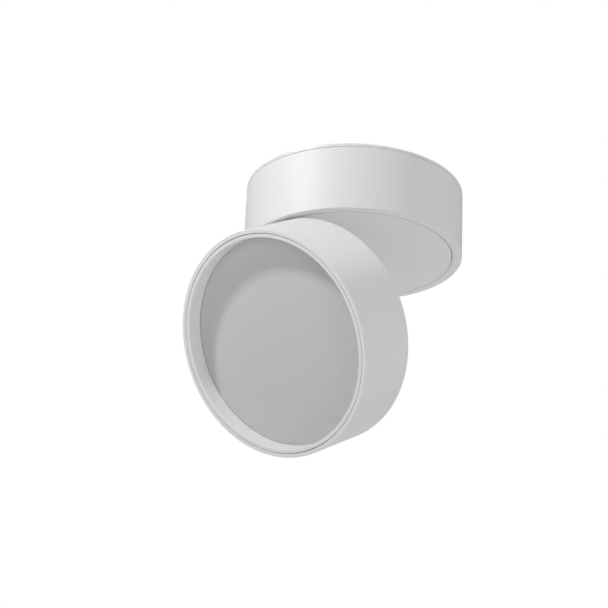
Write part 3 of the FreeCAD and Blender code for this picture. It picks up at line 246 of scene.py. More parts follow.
class SPOTLIGHT_PG_finish(bpy.types.PropertyGroup):
    """Colours and grain of the finishes"""
    coat: colour_setting("Powder coat", "Satin white of the drums", "#EEEEEE")
    coat_shade: colour_setting("Powder coat, deeper", "The coat where it lies a little thicker", "#EBEBEB")
    coat_roughness: FloatProperty(name="Coat roughness", description="Satin of the powder coat", default=0.52,
                                  min=0.0, max=1.0, subtype="FACTOR")
    coat_variation: FloatProperty(name="Coat variation", default=0.04, min=0.0, max=1.0, subtype="FACTOR",
                                  description="How far that roughness varies either way")
    peel: size_setting("Orange peel", "Size of the ripples in the powder coat", 0.9 * MM)
    opal: colour_setting("Opal acrylic", "Body colour of the diffuser", "#D0D1D3")
    opal_depth: size_setting("Opal depth", "How far light spreads in the opal acrylic", 1.2 * MM)
    plastic: colour_setting("Moulded plastic", "White polycarbonate", "#ECECE8")
    rubber: colour_setting("Silicone", "White silicone rubber", "#D8D8D5")
    zinc: colour_setting("Zinc", "Bright zinc plate", "#C6C9CC")
    steel: colour_setting("Spring steel", "Bare spring steel", "#9C9C9E")
    brass: colour_setting("Brass", "Turned brass", "#D8B873")
    aluminium: colour_setting("Aluminium", "Die cast aluminium", "#C9CBCD")
    mask: colour_setting("Solder mask", "Green solder mask", "#1F6B3A")
    pad: colour_setting("Thermal pad", "Grey filled silicone", "#9A9CA0")
    pad_specks: colour_setting("Pad specks", "Filler grains in the thermal pad", "#70737A")
    nylon: colour_setting("Nylon", "Natural nylon", "#E9E4D3")
    nylon_cloud: colour_setting("Nylon clouds", "Creamier patches in the nylon", "#DFD9C4")
    lamp_board: colour_setting("Lamp board", "White solder mask over copper", "#EFEFEA")
    board_gaps: colour_setting("Board gaps", "The mask between the copper fields", "#D9D9CF")
    phosphor: colour_setting("Phosphor", "Yellow phosphor powder", "#F2D04A")
    phosphor_grains: colour_setting("Phosphor grains", "Denser powder", "#D9B02E")
    ferrite: colour_setting("Ferrite", "Pressed ferrite and winding tape", "#3A3A3D")
    ferrite_grit: colour_setting("Ferrite grit", "Darker grit in the ferrite", "#28282A")
    sleeve: colour_setting("Sleeve", "Black shrink sleeve", "#1C1C1F")
    sleeve_ripples: colour_setting("Sleeve ripples", "Where the sleeve is stretched thinner", "#242428")


def softbox_group(name, azimuth, height, distance, side, power):
    """Property group of one square softbox that points at the head's front."""
    settings = {
        "azimuth": angle_setting("Azimuth", "Direction of the light, 0 in front of the head", azimuth),
        "height": angle_setting("Height", "Angle of the light above the horizon", height),
        "distance": size_setting("Distance", "From the object to the softbox", distance),
        "side": size_setting("Side", "Side of the softbox", side),
        "power": FloatProperty(name="Power", description="Power of the softbox", default=power, min=0.0,
                               unit="POWER"),
    }
    return type("SPOTLIGHT_PG_" + name, (bpy.types.PropertyGroup,), {"__annotations__": settings})


# The key is small and gives the trim's crisp shadow on the diffuser. The others are broad and fill the sides.
# Each has its azimuth and height in degrees, its distance and side in metres, and its power in watts.
SOFTBOXES = {
    "key_light": softbox_group("key_light", -11.3, 40.0, 0.5, 0.055, 1.40),
    "back_left": softbox_group("back_left", -140.0, -8.0, 1.6, 0.9, 1.6),
    "front_left": softbox_group("front_left", -45.0, -8.0, 1.6, 0.9, 1.6),
    "front_right": softbox_group("front_right", 20.0, -8.0, 1.6, 0.9, 1.8),
    "right": softbox_group("right", 50.0, -8.0, 1.6, 0.9, 1.1),
    "low_right": softbox_group("low_right", 80.0, -22.0, 0.9, 0.3, 1.24),
    "back_right": softbox_group("back_right", 120.0, 60.0, 1.6, 1.0, 8.7),
    "back": softbox_group("back", 160.0, 5.0, 1.6, 0.9, 2.4),
}


class SPOTLIGHT_PG_studio(bpy.types.PropertyGroup):
    """Floor, even light and camera"""
    floor_drop: size_setting("Floor", "Floor below the ceiling", 1.3)
    floor_colour: colour_setting("Floor colour", "Pale opal sheet of the floor", "#F0F0EE")
    floor_reach: size_setting("Floor reach", "Half of the floor's side", 40.0)
    floor_sheet: size_setting("Floor sheet", "Thickness of the floor", 10 * MM)
    glow: FloatProperty(name="Glow", description="Strength of the even light from all sides", default=0.1,
                        min=0.0)
    floor_glow: FloatProperty(name="Floor glow", description="Light that the floor gives off itself",
                              default=0.39, min=0.0)
    camera_azimuth: angle_setting("Camera azimuth", "Camera's direction, 0 in front of the head", 42.25)
    camera_height: angle_setting("Camera height", "Camera's elevation", -24.91)
    camera_distance: size_setting("Camera distance", "From the canopy's underside", 0.867)
    camera_yaw: angle_setting("Camera yaw", "Aim to the side of the canopy's middle", -1.415)
    camera_pitch: angle_setting("Camera pitch", "Aim above the canopy's middle", -1.492)
    camera_roll: angle_setting("Camera roll", "Roll about the line of sight", 2.64)
    lens: FloatProperty(name="Lens", description="Focal length in mm", default=112.0, min=1.0)
    sensor: FloatProperty(name="Sensor", description="Width of the sensor in mm", default=36.0, min=1.0)


class SPOTLIGHT_PG_all(bpy.types.PropertyGroup):
    """All settings of the light and its studio"""
    screws: PointerProperty(type=SPOTLIGHT_PG_screws)
    canopy: PointerProperty(type=SPOTLIGHT_PG_canopy)
    swivel: PointerProperty(type=SPOTLIGHT_PG_swivel)
    hinge: PointerProperty(type=SPOTLIGHT_PG_hinge)
    head: PointerProperty(type=SPOTLIGHT_PG_head)
    finish: PointerProperty(type=SPOTLIGHT_PG_finish)
    studio: PointerProperty(type=SPOTLIGHT_PG_studio)
    segments: IntProperty(name="Segments", description="Faces round a drum", default=224, min=24)


for softbox, softbox_settings in SOFTBOXES.items():
    SPOTLIGHT_PG_all.__annotations__[softbox] = PointerProperty(type=softbox_settings)


# ---- outlines and meshes ----
def rounded(corners):
    """Outline with rounded corners, from (x, y) or (x, y, radius) corners."""
    points = []
    for k, corner in enumerate(corners):
        here = Vector(corner[:2])
        if len(corner) == 2:
            points.append(tuple(here))
            continue
        radius = corner[2]
        before = (Vector(corners[k - 1][:2]) - here).normalized()
        after = (Vector(corners[(k + 1) % len(corners)][:2]) - here).normalized()
        half = before.angle(after) / 2
        middle = here + (before + after).normalized() * radius / math.sin(half)
        start = here + before * radius / math.tan(half) - middle
        turn = math.pi - 2 * half
        if before.cross(after) > 0:
            turn = -turn
        steps = max(2, math.ceil(abs(turn) / ARC_STEP))
        for step in range(steps + 1):
            arm = Matrix.Rotation(turn * step / steps, 2) @ start
            points.append(tuple(middle + arm))
    return points


def arc(middle, radius, start, end):
    """Points on an arc about a middle, from one angle to another."""
    steps = max(2, math.ceil(abs(end - start) / ARC_STEP))
    angles = [start + (end - start) * k / steps for k in range(steps + 1)]
    return [(middle[0] + radius * math.cos(a), middle[1] + radius * math.sin(a)) for a in angles]


def turns(count, first=0.0):
    """Angles evenly spaced round the Z axis. The first is given in degrees."""
    return [math.radians(first) + 2 * math.pi * k / count for k in range(count)]


def around(radius, count, first=0.0):
    """Points evenly spaced on a circle about the Z axis."""
    return [(radius * math.cos(a), radius * math.sin(a)) for a in turns(count, first)]


def lathe(outline, segments):
    """Outline of (radius, z) points turned about Z. One that starts and ends on the axis is solid."""
    mesh = bmesh.new()
    spokes = turns(segments)
    rings = []
    for radius, z in outline:
        if radius < TINY:
            rings.append([mesh.verts.new((0, 0, z))] * segments)
        else:
            rings.append([mesh.verts.new((radius * math.cos(a), radius * math.sin(a), z)) for a in spokes])
    following = rings[1:]
    if outline[0][0] > TINY:
        following = following + rings[:1]
    for lower, upper in zip(rings, following):
        for k in range(segments):
            turn = (k + 1) % segments
            corners = dict.fromkeys([lower[k], lower[turn], upper[turn], upper[k]])
            if len(corners) > 2:
                mesh.faces.new(corners)
    return mesh


def prism(outline, low, high):
    """Outline of (x, y) points drawn up along Z."""
    mesh = bmesh.new()
    bottom = [mesh.verts.new((x, y, low)) for x, y in outline]
    top = [mesh.verts.new((x, y, high)) for x, y in outline]
    mesh.faces.new(bottom)
    mesh.faces.new(top)
    for k in range(len(outline)):
        turn = (k + 1) % len(outline)
        mesh.faces.new([bottom[k], bottom[turn], top[turn], top[k]])
    return mesh


def circle(radius, x=0.0, y=0.0, sides=48):
    """Outline of a circle about a middle."""
    return [(x + a, y + b) for a, b in around(radius, sides)]


def rectangle(x0, x1, y0, y1, radius=0.0):
    """Outline of a rectangle, with rounded corners if a radius is given."""
    corners = [(x0, y0), (x1, y0), (x1, y1), (x0, y1)]
    if radius:
        return rounded([corner + (radius,) for corner in corners])
    return corners


def about_z(angle):
    """Turn about the drums' axis."""
    return Matrix.Rotation(angle, 4, "Z")


def placed(mesh, matrix):
    """Moves a bmesh and gives it back."""
    bmesh.ops.transform(mesh, matrix=matrix, verts=mesh.verts)
    return mesh


ALONG_X = Matrix(((0, 0, 1, 0), (1, 0, 0, 0), (0, 1, 0, 0), (0, 0, 0, 1)))   # (x, y, z) to (z, x, y)


def slab(outline, low, high):
    """Side view of (y, z) points drawn along X."""
    return placed(prism(outline, low, high), ALONG_X)


def solid(mesh):
    """Object of a bmesh, with its normals turned outwards."""
    bmesh.ops.recalc_face_normals(mesh, faces=mesh.faces)
    data = bpy.data.meshes.new("piece")
    mesh.to_mesh(data)
    mesh.free()
    made = bpy.data.objects.new("piece", data)
    bpy.context.scene.collection.objects.link(made)
    return made


def apply_modifiers(made):
    """Makes an object's modifiers part of its mesh."""
    graph = bpy.context.evaluated_depsgraph_get()
    data = bpy.data.meshes.new_from_object(made.evaluated_get(graph))
    before = made.data
    made.modifiers.clear()
    made.data = data
    bpy.data.meshes.remove(before)


def combine(made, how, meshes):
    """Cuts bmeshes out of a solid, or joins them to it. They don't touch each other."""
    tools = bmesh.new()
    for mesh in meshes:
        part = bpy.data.meshes.new("tool")
        mesh.to_mesh(part)
        mesh.free()
        tools.from_mesh(part)
        bpy.data.meshes.remove(part)
    other = solid(tools)
    step = made.modifiers.new("combine", "BOOLEAN")
    step.operation = how
    step.solver = "EXACT"
    step.object = other
    apply_modifiers(made)
    bpy.data.meshes.remove(other.data)
    return made


def bevelled(made, width):
    """Breaks the hard edges, as casting, stamping or coating does."""
    bevel = made.modifiers.new("edges", "BEVEL")
    bevel.width = width
    bevel.segments = BEVEL_FACES
    bevel.limit_method = "ANGLE"
    bevel.angle_limit = BEVEL_ANGLE
    bevel.miter_outer = "MITER_ARC"
    apply_modifiers(made)
    return made


def smooth(made):
    """Smooth shading that keeps flat faces flat and hard edges hard."""
    made.data.shade_smooth()
    made.data.set_sharp_from_angle(angle=HARD_ANGLE)
    weight = made.modifiers.new("normals", "WEIGHTED_NORMAL")
    weight.keep_sharp = True
    weight.mode = "FACE_AREA"
    apply_modifiers(made)


# ---- finishes ----
def slot_of(node):
    """Name of a node's material slot in the record."""
    return next(s["material_slot"] for s in frame["record"]["subparts"] if s["node"] == node)


def add_node(tree, kind, values=None, links=None, **settings):
    """Adds a node: its settings, the values of its sockets, and the (node, output) that feed them."""
    node = tree.nodes.new(kind)
    for name, value in settings.items():
        setattr(node, name, value)
    for socket, value in (values or {}).items():
        node.inputs[socket].default_value = value
    for socket, (source, output) in (links or {}).items():
        tree.links.new(source.outputs[output], node.inputs[socket])
    return node


MIX_SHARE, MIX_A, MIX_B, MIX_OUT = 0, 6, 7, 2      # colour sockets of a Mix node


def per_metre(size):
    """Texture scale that gives a pattern of that size."""
    return 1.0 / size


def opaque(colour, share=1.0):
    """Colour for a socket, as it is or at a share of its lightness."""
    return tuple(c * share for c in colour) + (1.0,)


def start_material(name):
    """An empty material, its node tree, and the link that lays a texture out in the piece's own space."""
    material = bpy.data.materials.new(name)
    material.use_nodes = True
    tree = material.node_tree
    tree.nodes.clear()
    coordinates = add_node(tree, "ShaderNodeTexCoord")
    return material, tree, {"Vector": (coordinates, "Object")}


def end_material(material, values, links):
    """Closes a material with its shader and output."""
    tree = material.node_tree
    shader = add_node(tree, "ShaderNodeBsdfPrincipled", values, links)
    add_node(tree, "ShaderNodeOutputMaterial", links={"Surface": (shader, "BSDF")})
    return material


def satin_powder_coat(finish):
    """Polyester powder, sprayed dry on the cast drums and baked. It melts to a thick even skin with a faint
    orange peel, so that highlights are broad, soft and slightly broken."""
    material, tree, where = start_material("satin_powder_coat")
    peel = add_node(tree, "ShaderNodeTexNoise", {"Scale": per_metre(finish.peel), "Detail": 2.0}, where)
    cloud = add_node(tree, "ShaderNodeTexNoise", {"Scale": per_metre(22 * MM), "Detail": 3.0}, where)
    tone = add_node(tree, "ShaderNodeMix", {MIX_A: opaque(finish.coat), MIX_B: opaque(finish.coat_shade)},
                    {MIX_SHARE: (cloud, 0)}, data_type="RGBA")
    low = finish.coat_roughness - finish.coat_variation
    high = finish.coat_roughness + finish.coat_variation
    gloss = add_node(tree, "ShaderNodeMapRange", {"To Min": low, "To Max": high}, {"Value": (cloud, 0)})
    bump = add_node(tree, "ShaderNodeBump", {"Strength": 0.25, "Distance": 0.015 * MM}, {"Height": (peel, 0)})
    return end_material(material, {"IOR": 1.5},
                        {"Base Color": (tone, MIX_OUT), "Roughness": (gloss, 0), "Normal": (bump, 0)})


def coated_steel(finish):
    """The same powder on pressed and bent steel, where the coat is thinner: the peel is finer and the faces
    a touch glossier."""
    material, tree, where = start_material("powder_coated_steel")
    peel = add_node(tree, "ShaderNodeTexNoise", {"Scale": per_metre(0.6 * MM), "Detail": 2.0}, where)
    tone = add_node(tree, "ShaderNodeMix", {MIX_A: opaque(finish.coat), MIX_B: opaque(finish.coat_shade)},
                    {MIX_SHARE: (peel, 0)}, data_type="RGBA")
    gloss = add_node(tree, "ShaderNodeMapRange", {"To Min": 0.34, "To Max": 0.44}, {"Value": (peel, 0)})
    bump = add_node(tree, "ShaderNodeBump", {"Strength": 0.25, "Distance": 0.01 * MM}, {"Height": (peel, 0)})
    return end_material(material, {"IOR": 1.5},
                        {"Base Color": (tone, MIX_OUT), "Roughness": (gloss, 0), "Normal": (bump, 0)})


def opal_acrylic(finish):
    """Cast opal acrylic with a satin face. Light enters and spreads, so shadows on it have soft edges, and
    the white looks a little cool and deep."""
    material, tree, where = start_material("satin_opal_acrylic")
    grain = add_node(tree, "ShaderNodeTexNoise", {"Scale": per_metre(0.35 * MM), "Detail": 2.0}, where)
    tone = add_node(tree, "ShaderNodeMix", {MIX_A: opaque(finish.opal), MIX_B: opaque(finish.opal, 0.985)},
                    {MIX_SHARE: (grain, 0)}, data_type="RGBA")
    gloss = add_node(tree, "ShaderNodeMapRange", {"To Min": 0.38, "To Max": 0.48}, {"Value": (grain, 0)})
    bump = add_node(tree, "ShaderNodeBump", {"Strength": 0.15, "Distance": 0.006 * MM},
                    {"Height": (grain, 0)})
    return end_material(material, {"IOR": 1.49, "Subsurface Weight": 0.6,
                                   "Subsurface Radius": (1.0, 1.0, 1.0),
                                   "Subsurface Scale": finish.opal_depth},
                        {"Base Color": (tone, MIX_OUT), "Roughness": (gloss, 0), "Normal": (bump, 0)})


def moulded_polycarbonate(finish):
    """Injection moulded white polycarbonate with a spark eroded mould grain: even, matt and slightly waxy."""
    material, tree, where = start_material("moulded_white_polycarbonate")
    grain = add_node(tree, "ShaderNodeTexVoronoi", {"Scale": per_metre(0.25 * MM)}, where)
    tone = add_node(tree, "ShaderNodeMix",
                    {MIX_A: opaque(finish.plastic), MIX_B: opaque(finish.plastic, 0.95)},
                    {MIX_SHARE: (grain, 0)}, data_type="RGBA")
    bump = add_node(tree, "ShaderNodeBump", {"Strength": 0.3, "Distance": 0.02 * MM}, {"Height": (grain, 0)})
    return end_material(material, {"IOR": 1.58, "Roughness": 0.55},
                        {"Base Color": (tone, MIX_OUT), "Normal": (bump, 0)})


def silicone_rubber(finish):
    """Moulded white silicone: dull, slightly grey where it is handled, with a dusty sheen at the edges."""
    material, tree, where = start_material("moulded_white_silicone")
    dust = add_node(tree, "ShaderNodeTexNoise", {"Scale": per_metre(1.5 * MM), "Detail": 4.0}, where)
    tone = add_node(tree, "ShaderNodeMix", {MIX_A: opaque(finish.rubber), MIX_B: opaque(finish.rubber, 0.9)},
                    {MIX_SHARE: (dust, 0)}, data_type="RGBA")
    bump = add_node(tree, "ShaderNodeBump", {"Strength": 0.2, "Distance": 0.02 * MM}, {"Height": (dust, 0)})
    return end_material(material, {"IOR": 1.41, "Roughness": 0.7, "Sheen Weight": 0.15},
                        {"Base Color": (tone, MIX_OUT), "Normal": (bump, 0)})


def thermal_pad_silicone(finish):
    """Ceramic filled silicone pad: flat grey with pale filler specks."""
    material, tree, where = start_material("grey_thermal_silicone")
    specks = add_node(tree, "ShaderNodeTexVoronoi", {"Scale": per_metre(0.4 * MM)}, where)
    tone = add_node(tree, "ShaderNodeMix", {MIX_A: opaque(finish.pad), MIX_B: opaque(finish.pad_specks)},
                    {MIX_SHARE: (specks, 0)}, data_type="RGBA")
    return end_material(material, {"IOR": 1.45, "Roughness": 0.85}, {"Base Color": (tone, MIX_OUT)})


def natural_nylon(finish):
    """Stamped natural nylon sheet: creamy and waxy, with faint clouds."""
    material, tree, where = start_material("stamped_natural_nylon")
    cloud = add_node(tree, "ShaderNodeTexNoise", {"Scale": per_metre(2.0 * MM)}, where)
    tone = add_node(tree, "ShaderNodeMix", {MIX_A: opaque(finish.nylon), MIX_B: opaque(finish.nylon_cloud)},
                    {MIX_SHARE: (cloud, 0)}, data_type="RGBA")
    return end_material(material, {"IOR": 1.53, "Roughness": 0.4}, {"Base Color": (tone, MIX_OUT)})


def bright_zinc(finish):
    """Zinc electroplate over steel: bright, cool, with fine cloudy patches from the bath."""
    material, tree, where = start_material("bright_zinc_plated_steel")
    cloud = add_node(tree, "ShaderNodeTexNoise", {"Scale": per_metre(0.8 * MM), "Detail": 3.0}, where)
    tone = add_node(tree, "ShaderNodeMix", {MIX_A: opaque(finish.zinc), MIX_B: opaque(finish.zinc, 0.85)},
                    {MIX_SHARE: (cloud, 0)}, data_type="RGBA")
    gloss = add_node(tree, "ShaderNodeMapRange", {"To Min": 0.22, "To Max": 0.38}, {"Value": (cloud, 0)})
    return end_material(material, {"Metallic": 1.0}, {"Base Color": (tone, MIX_OUT), "Roughness": (gloss, 0)})


def spring_steel(finish):
    """Cold rolled spring steel, tumbled: grey with fine rolling lines."""
    material, tree, where = start_material("tumbled_spring_steel")
    drawn = add_node(tree, "ShaderNodeMapping", {"Scale": (0.1, 1.0, 1.0)}, where)
    lines = add_node(tree, "ShaderNodeTexNoise", {"Scale": per_metre(0.15 * MM), "Detail": 2.0},
                     {"Vector": (drawn, 0)})
    tone = add_node(tree, "ShaderNodeMix", {MIX_A: opaque(finish.steel), MIX_B: opaque(finish.steel, 0.8)},
                    {MIX_SHARE: (lines, 0)}, data_type="RGBA")
    gloss = add_node(tree, "ShaderNodeMapRange", {"To Min": 0.3, "To Max": 0.45}, {"Value": (lines, 0)})
    return end_material(material, {"Metallic": 1.0}, {"Base Color": (tone, MIX_OUT), "Roughness": (gloss, 0)})


def turned_brass(finish):
    """Free cutting brass off a lathe: warm and bright, with faint tool marks."""
    material, tree, where = start_material("turned_brass")
    marks = add_node(tree, "ShaderNodeTexNoise", {"Scale": per_metre(0.3 * MM), "Detail": 2.0}, where)
    tone = add_node(tree, "ShaderNodeMix", {MIX_A: opaque(finish.brass), MIX_B: opaque(finish.brass, 0.85)},
                    {MIX_SHARE: (marks, 0)}, data_type="RGBA")
    gloss = add_node(tree, "ShaderNodeMapRange", {"To Min": 0.22, "To Max": 0.36}, {"Value": (marks, 0)})
    return end_material(material, {"Metallic": 1.0}, {"Base Color": (tone, MIX_OUT), "Roughness": (gloss, 0)})


def cast_aluminium(finish):
    """Die cast and bead blasted aluminium: pale grey, with a fine pitted skin that scatters the light."""
    material, tree, where = start_material("blasted_cast_aluminium")
    pits = add_node(tree, "ShaderNodeTexNoise", {"Scale": per_metre(0.3 * MM), "Detail": 4.0}, where)
    flow = add_node(tree, "ShaderNodeTexNoise", {"Scale": per_metre(9 * MM), "Detail": 2.0}, where)
    tone = add_node(tree, "ShaderNodeMix",
                    {MIX_A: opaque(finish.aluminium), MIX_B: opaque(finish.aluminium, 0.85)},
                    {MIX_SHARE: (flow, 0)}, data_type="RGBA")
    gloss = add_node(tree, "ShaderNodeMapRange", {"To Min": 0.45, "To Max": 0.62}, {"Value": (pits, 0)})
    bump = add_node(tree, "ShaderNodeBump", {"Strength": 0.4, "Distance": 0.03 * MM}, {"Height": (pits, 0)})
    return end_material(material, {"Metallic": 1.0},
                        {"Base Color": (tone, MIX_OUT), "Roughness": (gloss, 0), "Normal": (bump, 0)})


def green_circuit_board(finish):
    """Glass epoxy board under green solder mask: copper tracks show as paler, raised lines."""
    material, tree, where = start_material("green_solder_mask")
    tracks = add_node(tree, "ShaderNodeTexBrick",
                      {"Color1": (0, 0, 0, 1), "Color2": (0.1, 0.1, 0.1, 1), "Mortar": (1, 1, 1, 1),
                       "Scale": per_metre(4 * MM), "Mortar Size": 0.05, "Brick Width": 1.4,
                       "Row Height": 0.5}, where)
    tone = add_node(tree, "ShaderNodeMix", {MIX_A: opaque(finish.mask), MIX_B: opaque(finish.mask, 1.7)},
                    {MIX_SHARE: (tracks, 0)}, data_type="RGBA")
    bump = add_node(tree, "ShaderNodeBump", {"Strength": 0.5, "Distance": 0.03 * MM}, {"Height": (tracks, 0)})
    return end_material(material, {"IOR": 1.52, "Roughness": 0.3},
                        {"Base Color": (tone, MIX_OUT), "Normal": (bump, 0)})


def white_lamp_board(finish):
    """Aluminium lamp board under white solder mask, printed over wide copper fields with thin gaps."""
    material, tree, where = start_material("white_solder_mask")
    fields = add_node(tree, "ShaderNodeTexBrick",
                      {"Color1": (0, 0, 0, 1), "Color2": (0, 0, 0, 1), "Mortar": (1, 1, 1, 1),
                       "Scale": per_metre(10 * MM), "Mortar Size": 0.015}, where)
    tone = add_node(tree, "ShaderNodeMix",
                    {MIX_A: opaque(finish.lamp_board), MIX_B: opaque(finish.board_gaps)},
                    {MIX_SHARE: (fields, 0)}, data_type="RGBA")
    return end_material(material, {"IOR": 1.52, "Roughness": 0.35}, {"Base Color": (tone, MIX_OUT)})


def led_phosphor(finish):
    """Yellow phosphor powder set in clear silicone, seen through the glossy top of each chip."""
    material, tree, where = start_material("phosphor_in_silicone")
    powder = add_node(tree, "ShaderNodeTexVoronoi", {"Scale": per_metre(0.12 * MM)}, where)
    tone = add_node(tree, "ShaderNodeMix",
                    {MIX_A: opaque(finish.phosphor), MIX_B: opaque(finish.phosphor_grains)},
                    {MIX_SHARE: (powder, 0)}, data_type="RGBA")
    return end_material(material, {"IOR": 1.41, "Roughness": 0.2}, {"Base Color": (tone, MIX_OUT)})


def ferrite_and_tape(finish):
    """Pressed ferrite and dark winding tape: sooty, with fine grey grit."""
    material, tree, where = start_material("pressed_ferrite")
    grit = add_node(tree, "ShaderNodeTexNoise", {"Scale": per_metre(0.2 * MM), "Detail": 4.0}, where)
    tone = add_node(tree, "ShaderNodeMix",
                    {MIX_A: opaque(finish.ferrite), MIX_B: opaque(finish.ferrite_grit)},
                    {MIX_SHARE: (grit, 0)}, data_type="RGBA")
    bump = add_node(tree, "ShaderNodeBump", {"Strength": 0.3, "Distance": 0.03 * MM}, {"Height": (grit, 0)})
    return end_material(material, {"IOR": 1.6, "Roughness": 0.6},
                        {"Base Color": (tone, MIX_OUT), "Normal": (bump, 0)})


def shrink_sleeve(finish):
    """Black heat shrunk sleeve: glossy film with slight ripples."""
    material, tree, where = start_material("black_shrink_sleeve")
    ripple = add_node(tree, "ShaderNodeTexNoise", {"Scale": per_metre(2.0 * MM)}, where)
    tone = add_node(tree, "ShaderNodeMix",
                    {MIX_A: opaque(finish.sleeve), MIX_B: opaque(finish.sleeve_ripples)},
                    {MIX_SHARE: (ripple, 0)}, data_type="RGBA")
    bump = add_node(tree, "ShaderNodeBump", {"Strength": 0.3, "Distance": 0.05 * MM},
                    {"Height": (ripple, 0)})
    return end_material(material, {"IOR": 1.54, "Roughness": 0.22},
                        {"Base Color": (tone, MIX_OUT), "Normal": (bump, 0)})


# One finish for each material slot of the record.
FINISHES = {
    "white_coat": satin_powder_coat, "coated_steel": coated_steel, "opal_acrylic": opal_acrylic,
    "white_plastic": moulded_polycarbonate, "white_rubber": silicone_rubber,
    "grey_rubber": thermal_pad_silicone, "nylon": natural_nylon, "zinc_steel": bright_zinc,
    "spring_steel": spring_steel, "brass": turned_brass, "cast_aluminium": cast_aluminium,
    "circuit_board": green_circuit_board, "led_board": white_lamp_board, "led_phosphor": led_phosphor,
    "ferrite": ferrite_and_tape, "black_sleeve": shrink_sleeve,
}
made_finishes = {}


def finish_of(node):
    """Material for a node's slot, made the first time it is asked for."""
    slot = slot_of(node)
    if slot not in made_finishes:
        made_finishes[slot] = FINISHES[slot](bpy.context.scene.spotlight.finish)
    return made_finishes[slot]


def add_piece(made, name, node):
    """Names a piece, and gives it the finish, the place and the body of the node that it replaces."""
    smooth(made)
    made.name = name
    made.data.name = name
    made.data.materials.clear()
    made.data.materials.append(finish_of(node))
    body = frame["nodes"][node]["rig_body"]
    made.matrix_world = PLACES[body]
    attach(made, body)
    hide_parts(node)


# ---- shared by several pieces ----
# How many stand on a circle, and the direction of the first in degrees.
AXLE_SCREWS = (3, 90)
SINK_SCREWS = (3, 30)
COVER_SCREWS = (4, 45)
TRIM_CATCHES = (3, 90)
LUGS = 2                             # the ceiling plate's side lugs, each with a set screw
EDGE_ROUND = 0.45                    # roundings of a moulded flange, as shares of its thickness
BORE_ROUND = 0.4


def hex_socket(radius, low, high):
    """Cutter for a hexagon socket, by the radius over its corners."""
    return prism(around(radius, 6), low, high)


def lead_bush_outline(sizes, low, high, neck_low, neck_high, flange):
    """Section of a lead bush: a rounded flange from low to high, and the neck that sits in the hole."""
    edge = (high - low) * EDGE_ROUND
    lip = (high - low) * BORE_ROUND
    bore = sizes.bush_bore
    neck = sizes.bush_neck
    if neck_low < low:
        return rounded([(bore, neck_low), (neck, neck_low), (neck, low), (flange, low), (flange, high, edge),
                        (bore, high, lip)])
    return rounded([(bore, low, lip), (flange, low, edge), (flange, high), (neck, high), (neck, neck_high),
                    (bore, neck_high)])


def middle_of(node):
    """Middle of a round piece, in plan."""
    low, high = span(node)
    return (low.x + high.x) / 2, (low.y + high.y) / 2


def upright(node, low, high, play=0.0):
    """Round column in a piece's place, wider by its play."""
    node_low, node_high = span(node)
    return prism(circle((node_high.x - node_low.x) / 2 + play, *middle_of(node)), low, high)


def pair_places(node, head):
    """Places of two screws that stand side by side along X."""
    low, high = span(node)
    middle = (low.y + high.y) / 2
    return [(low.x + head, middle), (high.x - head, middle)]


def bracket_screw_places(head):
    """One screw near the middle of the disc and two near its edge."""
    low, high = span("bracket_screws")
    return [(0, high.y - head), (low.x + head, low.y + head), (high.x - head, low.y + head)]


def holes_at(places, radius, low, high):
    """Cutters for upright holes."""
    return [prism(circle(radius, x, y), low, high) for x, y in places]


def countersink(screws, low, face):
    """Section of a screw hole with a cone that opens upwards at the face."""
    sink = screws.head - screws.hole
    return [(0, low), (screws.hole, low), (screws.hole, face - sink), (screws.head + PAST, face + PAST),
            (0, face + PAST)]


# ---- pieces ----
class SPOTLIGHT_OT_ceiling_plate(bpy.types.Operator):
    """Stamped ceiling plate with screw slots, bent side lugs and a cable hole"""
    bl_idname = "spotlight.ceiling_plate"
    bl_label = "Ceiling plate"

    def execute(self, context):
        sizes = context.scene.spotlight.canopy
        low, high = span("ceiling_plate")
        plate_low = span("canopy_shell")[1].z
        slots = mount("ceiling_screws")
        hole = slots["hole_r_mm"] * MM
        bush_low, bush_high = span("cable_grommet")
        bore = mount("cable_entry")["r_mm"] * MM
        neck = bore + sizes.neck_wall
        edge = sizes.plate_round
        section = rounded([(neck, plate_low, edge / 2), (sizes.plate_radius, plate_low, edge),
                           (sizes.plate_radius, high.z, edge), (neck, high.z, edge / 2)])
        plate = solid(lathe(section, context.scene.spotlight.segments))
        reach = slots["slot_length_mm"] * MM / 2
        cuts = []
        for side in (-1, 1):
            middle = side * slots["spacing_x_mm"] * MM / 2
            slot = rectangle(middle - reach, middle + reach, -hole, hole, hole * NEARLY_ROUND)
            cuts.append(prism(slot, plate_low - PAST, high.z + PAST))
        combine(plate, "DIFFERENCE", cuts)
        outer = sizes.radius - sizes.wall - sizes.lug_gap
        half = sizes.lug_width / 2
        inner = outer - sizes.lug_thickness
        rim = math.asin(half / outer)
        lug = [(inner, -half), (inner, half)] + arc((0, 0), outer, rim, -rim)
        root = plate_low + (high.z - plate_low) / 4      # the lugs reach this far into the plate
        lugs = []
        for turn in turns(LUGS):
            lugs.append(placed(prism(lug, low.z, root), about_z(sizes.screw_angle + turn)))
        combine(plate, "UNION", lugs)
        add_piece(plate, "ceiling_plate_pressed", "ceiling_plate")
        flange = bush_high.x
        thick = plate_low - bush_low.z
        seat_round = thick / 20
        tip_round = thick / 5
        mouth_round = thick / 4
        neck -= sizes.grommet_fit
        section = rounded([(bore, bush_low.z, thick * BORE_ROUND), (flange, bush_low.z, thick * EDGE_ROUND),
                           (flange, plate_low, seat_round), (neck, plate_low),
                           (neck, bush_high.z, tip_round), (bore, bush_high.z, mouth_round)])
        grommet = solid(lathe(section, context.scene.spotlight.screws.grommet_sides))
        add_piece(grommet, "cable_grommet_moulded", "cable_grommet")
        return {"FINISHED"}


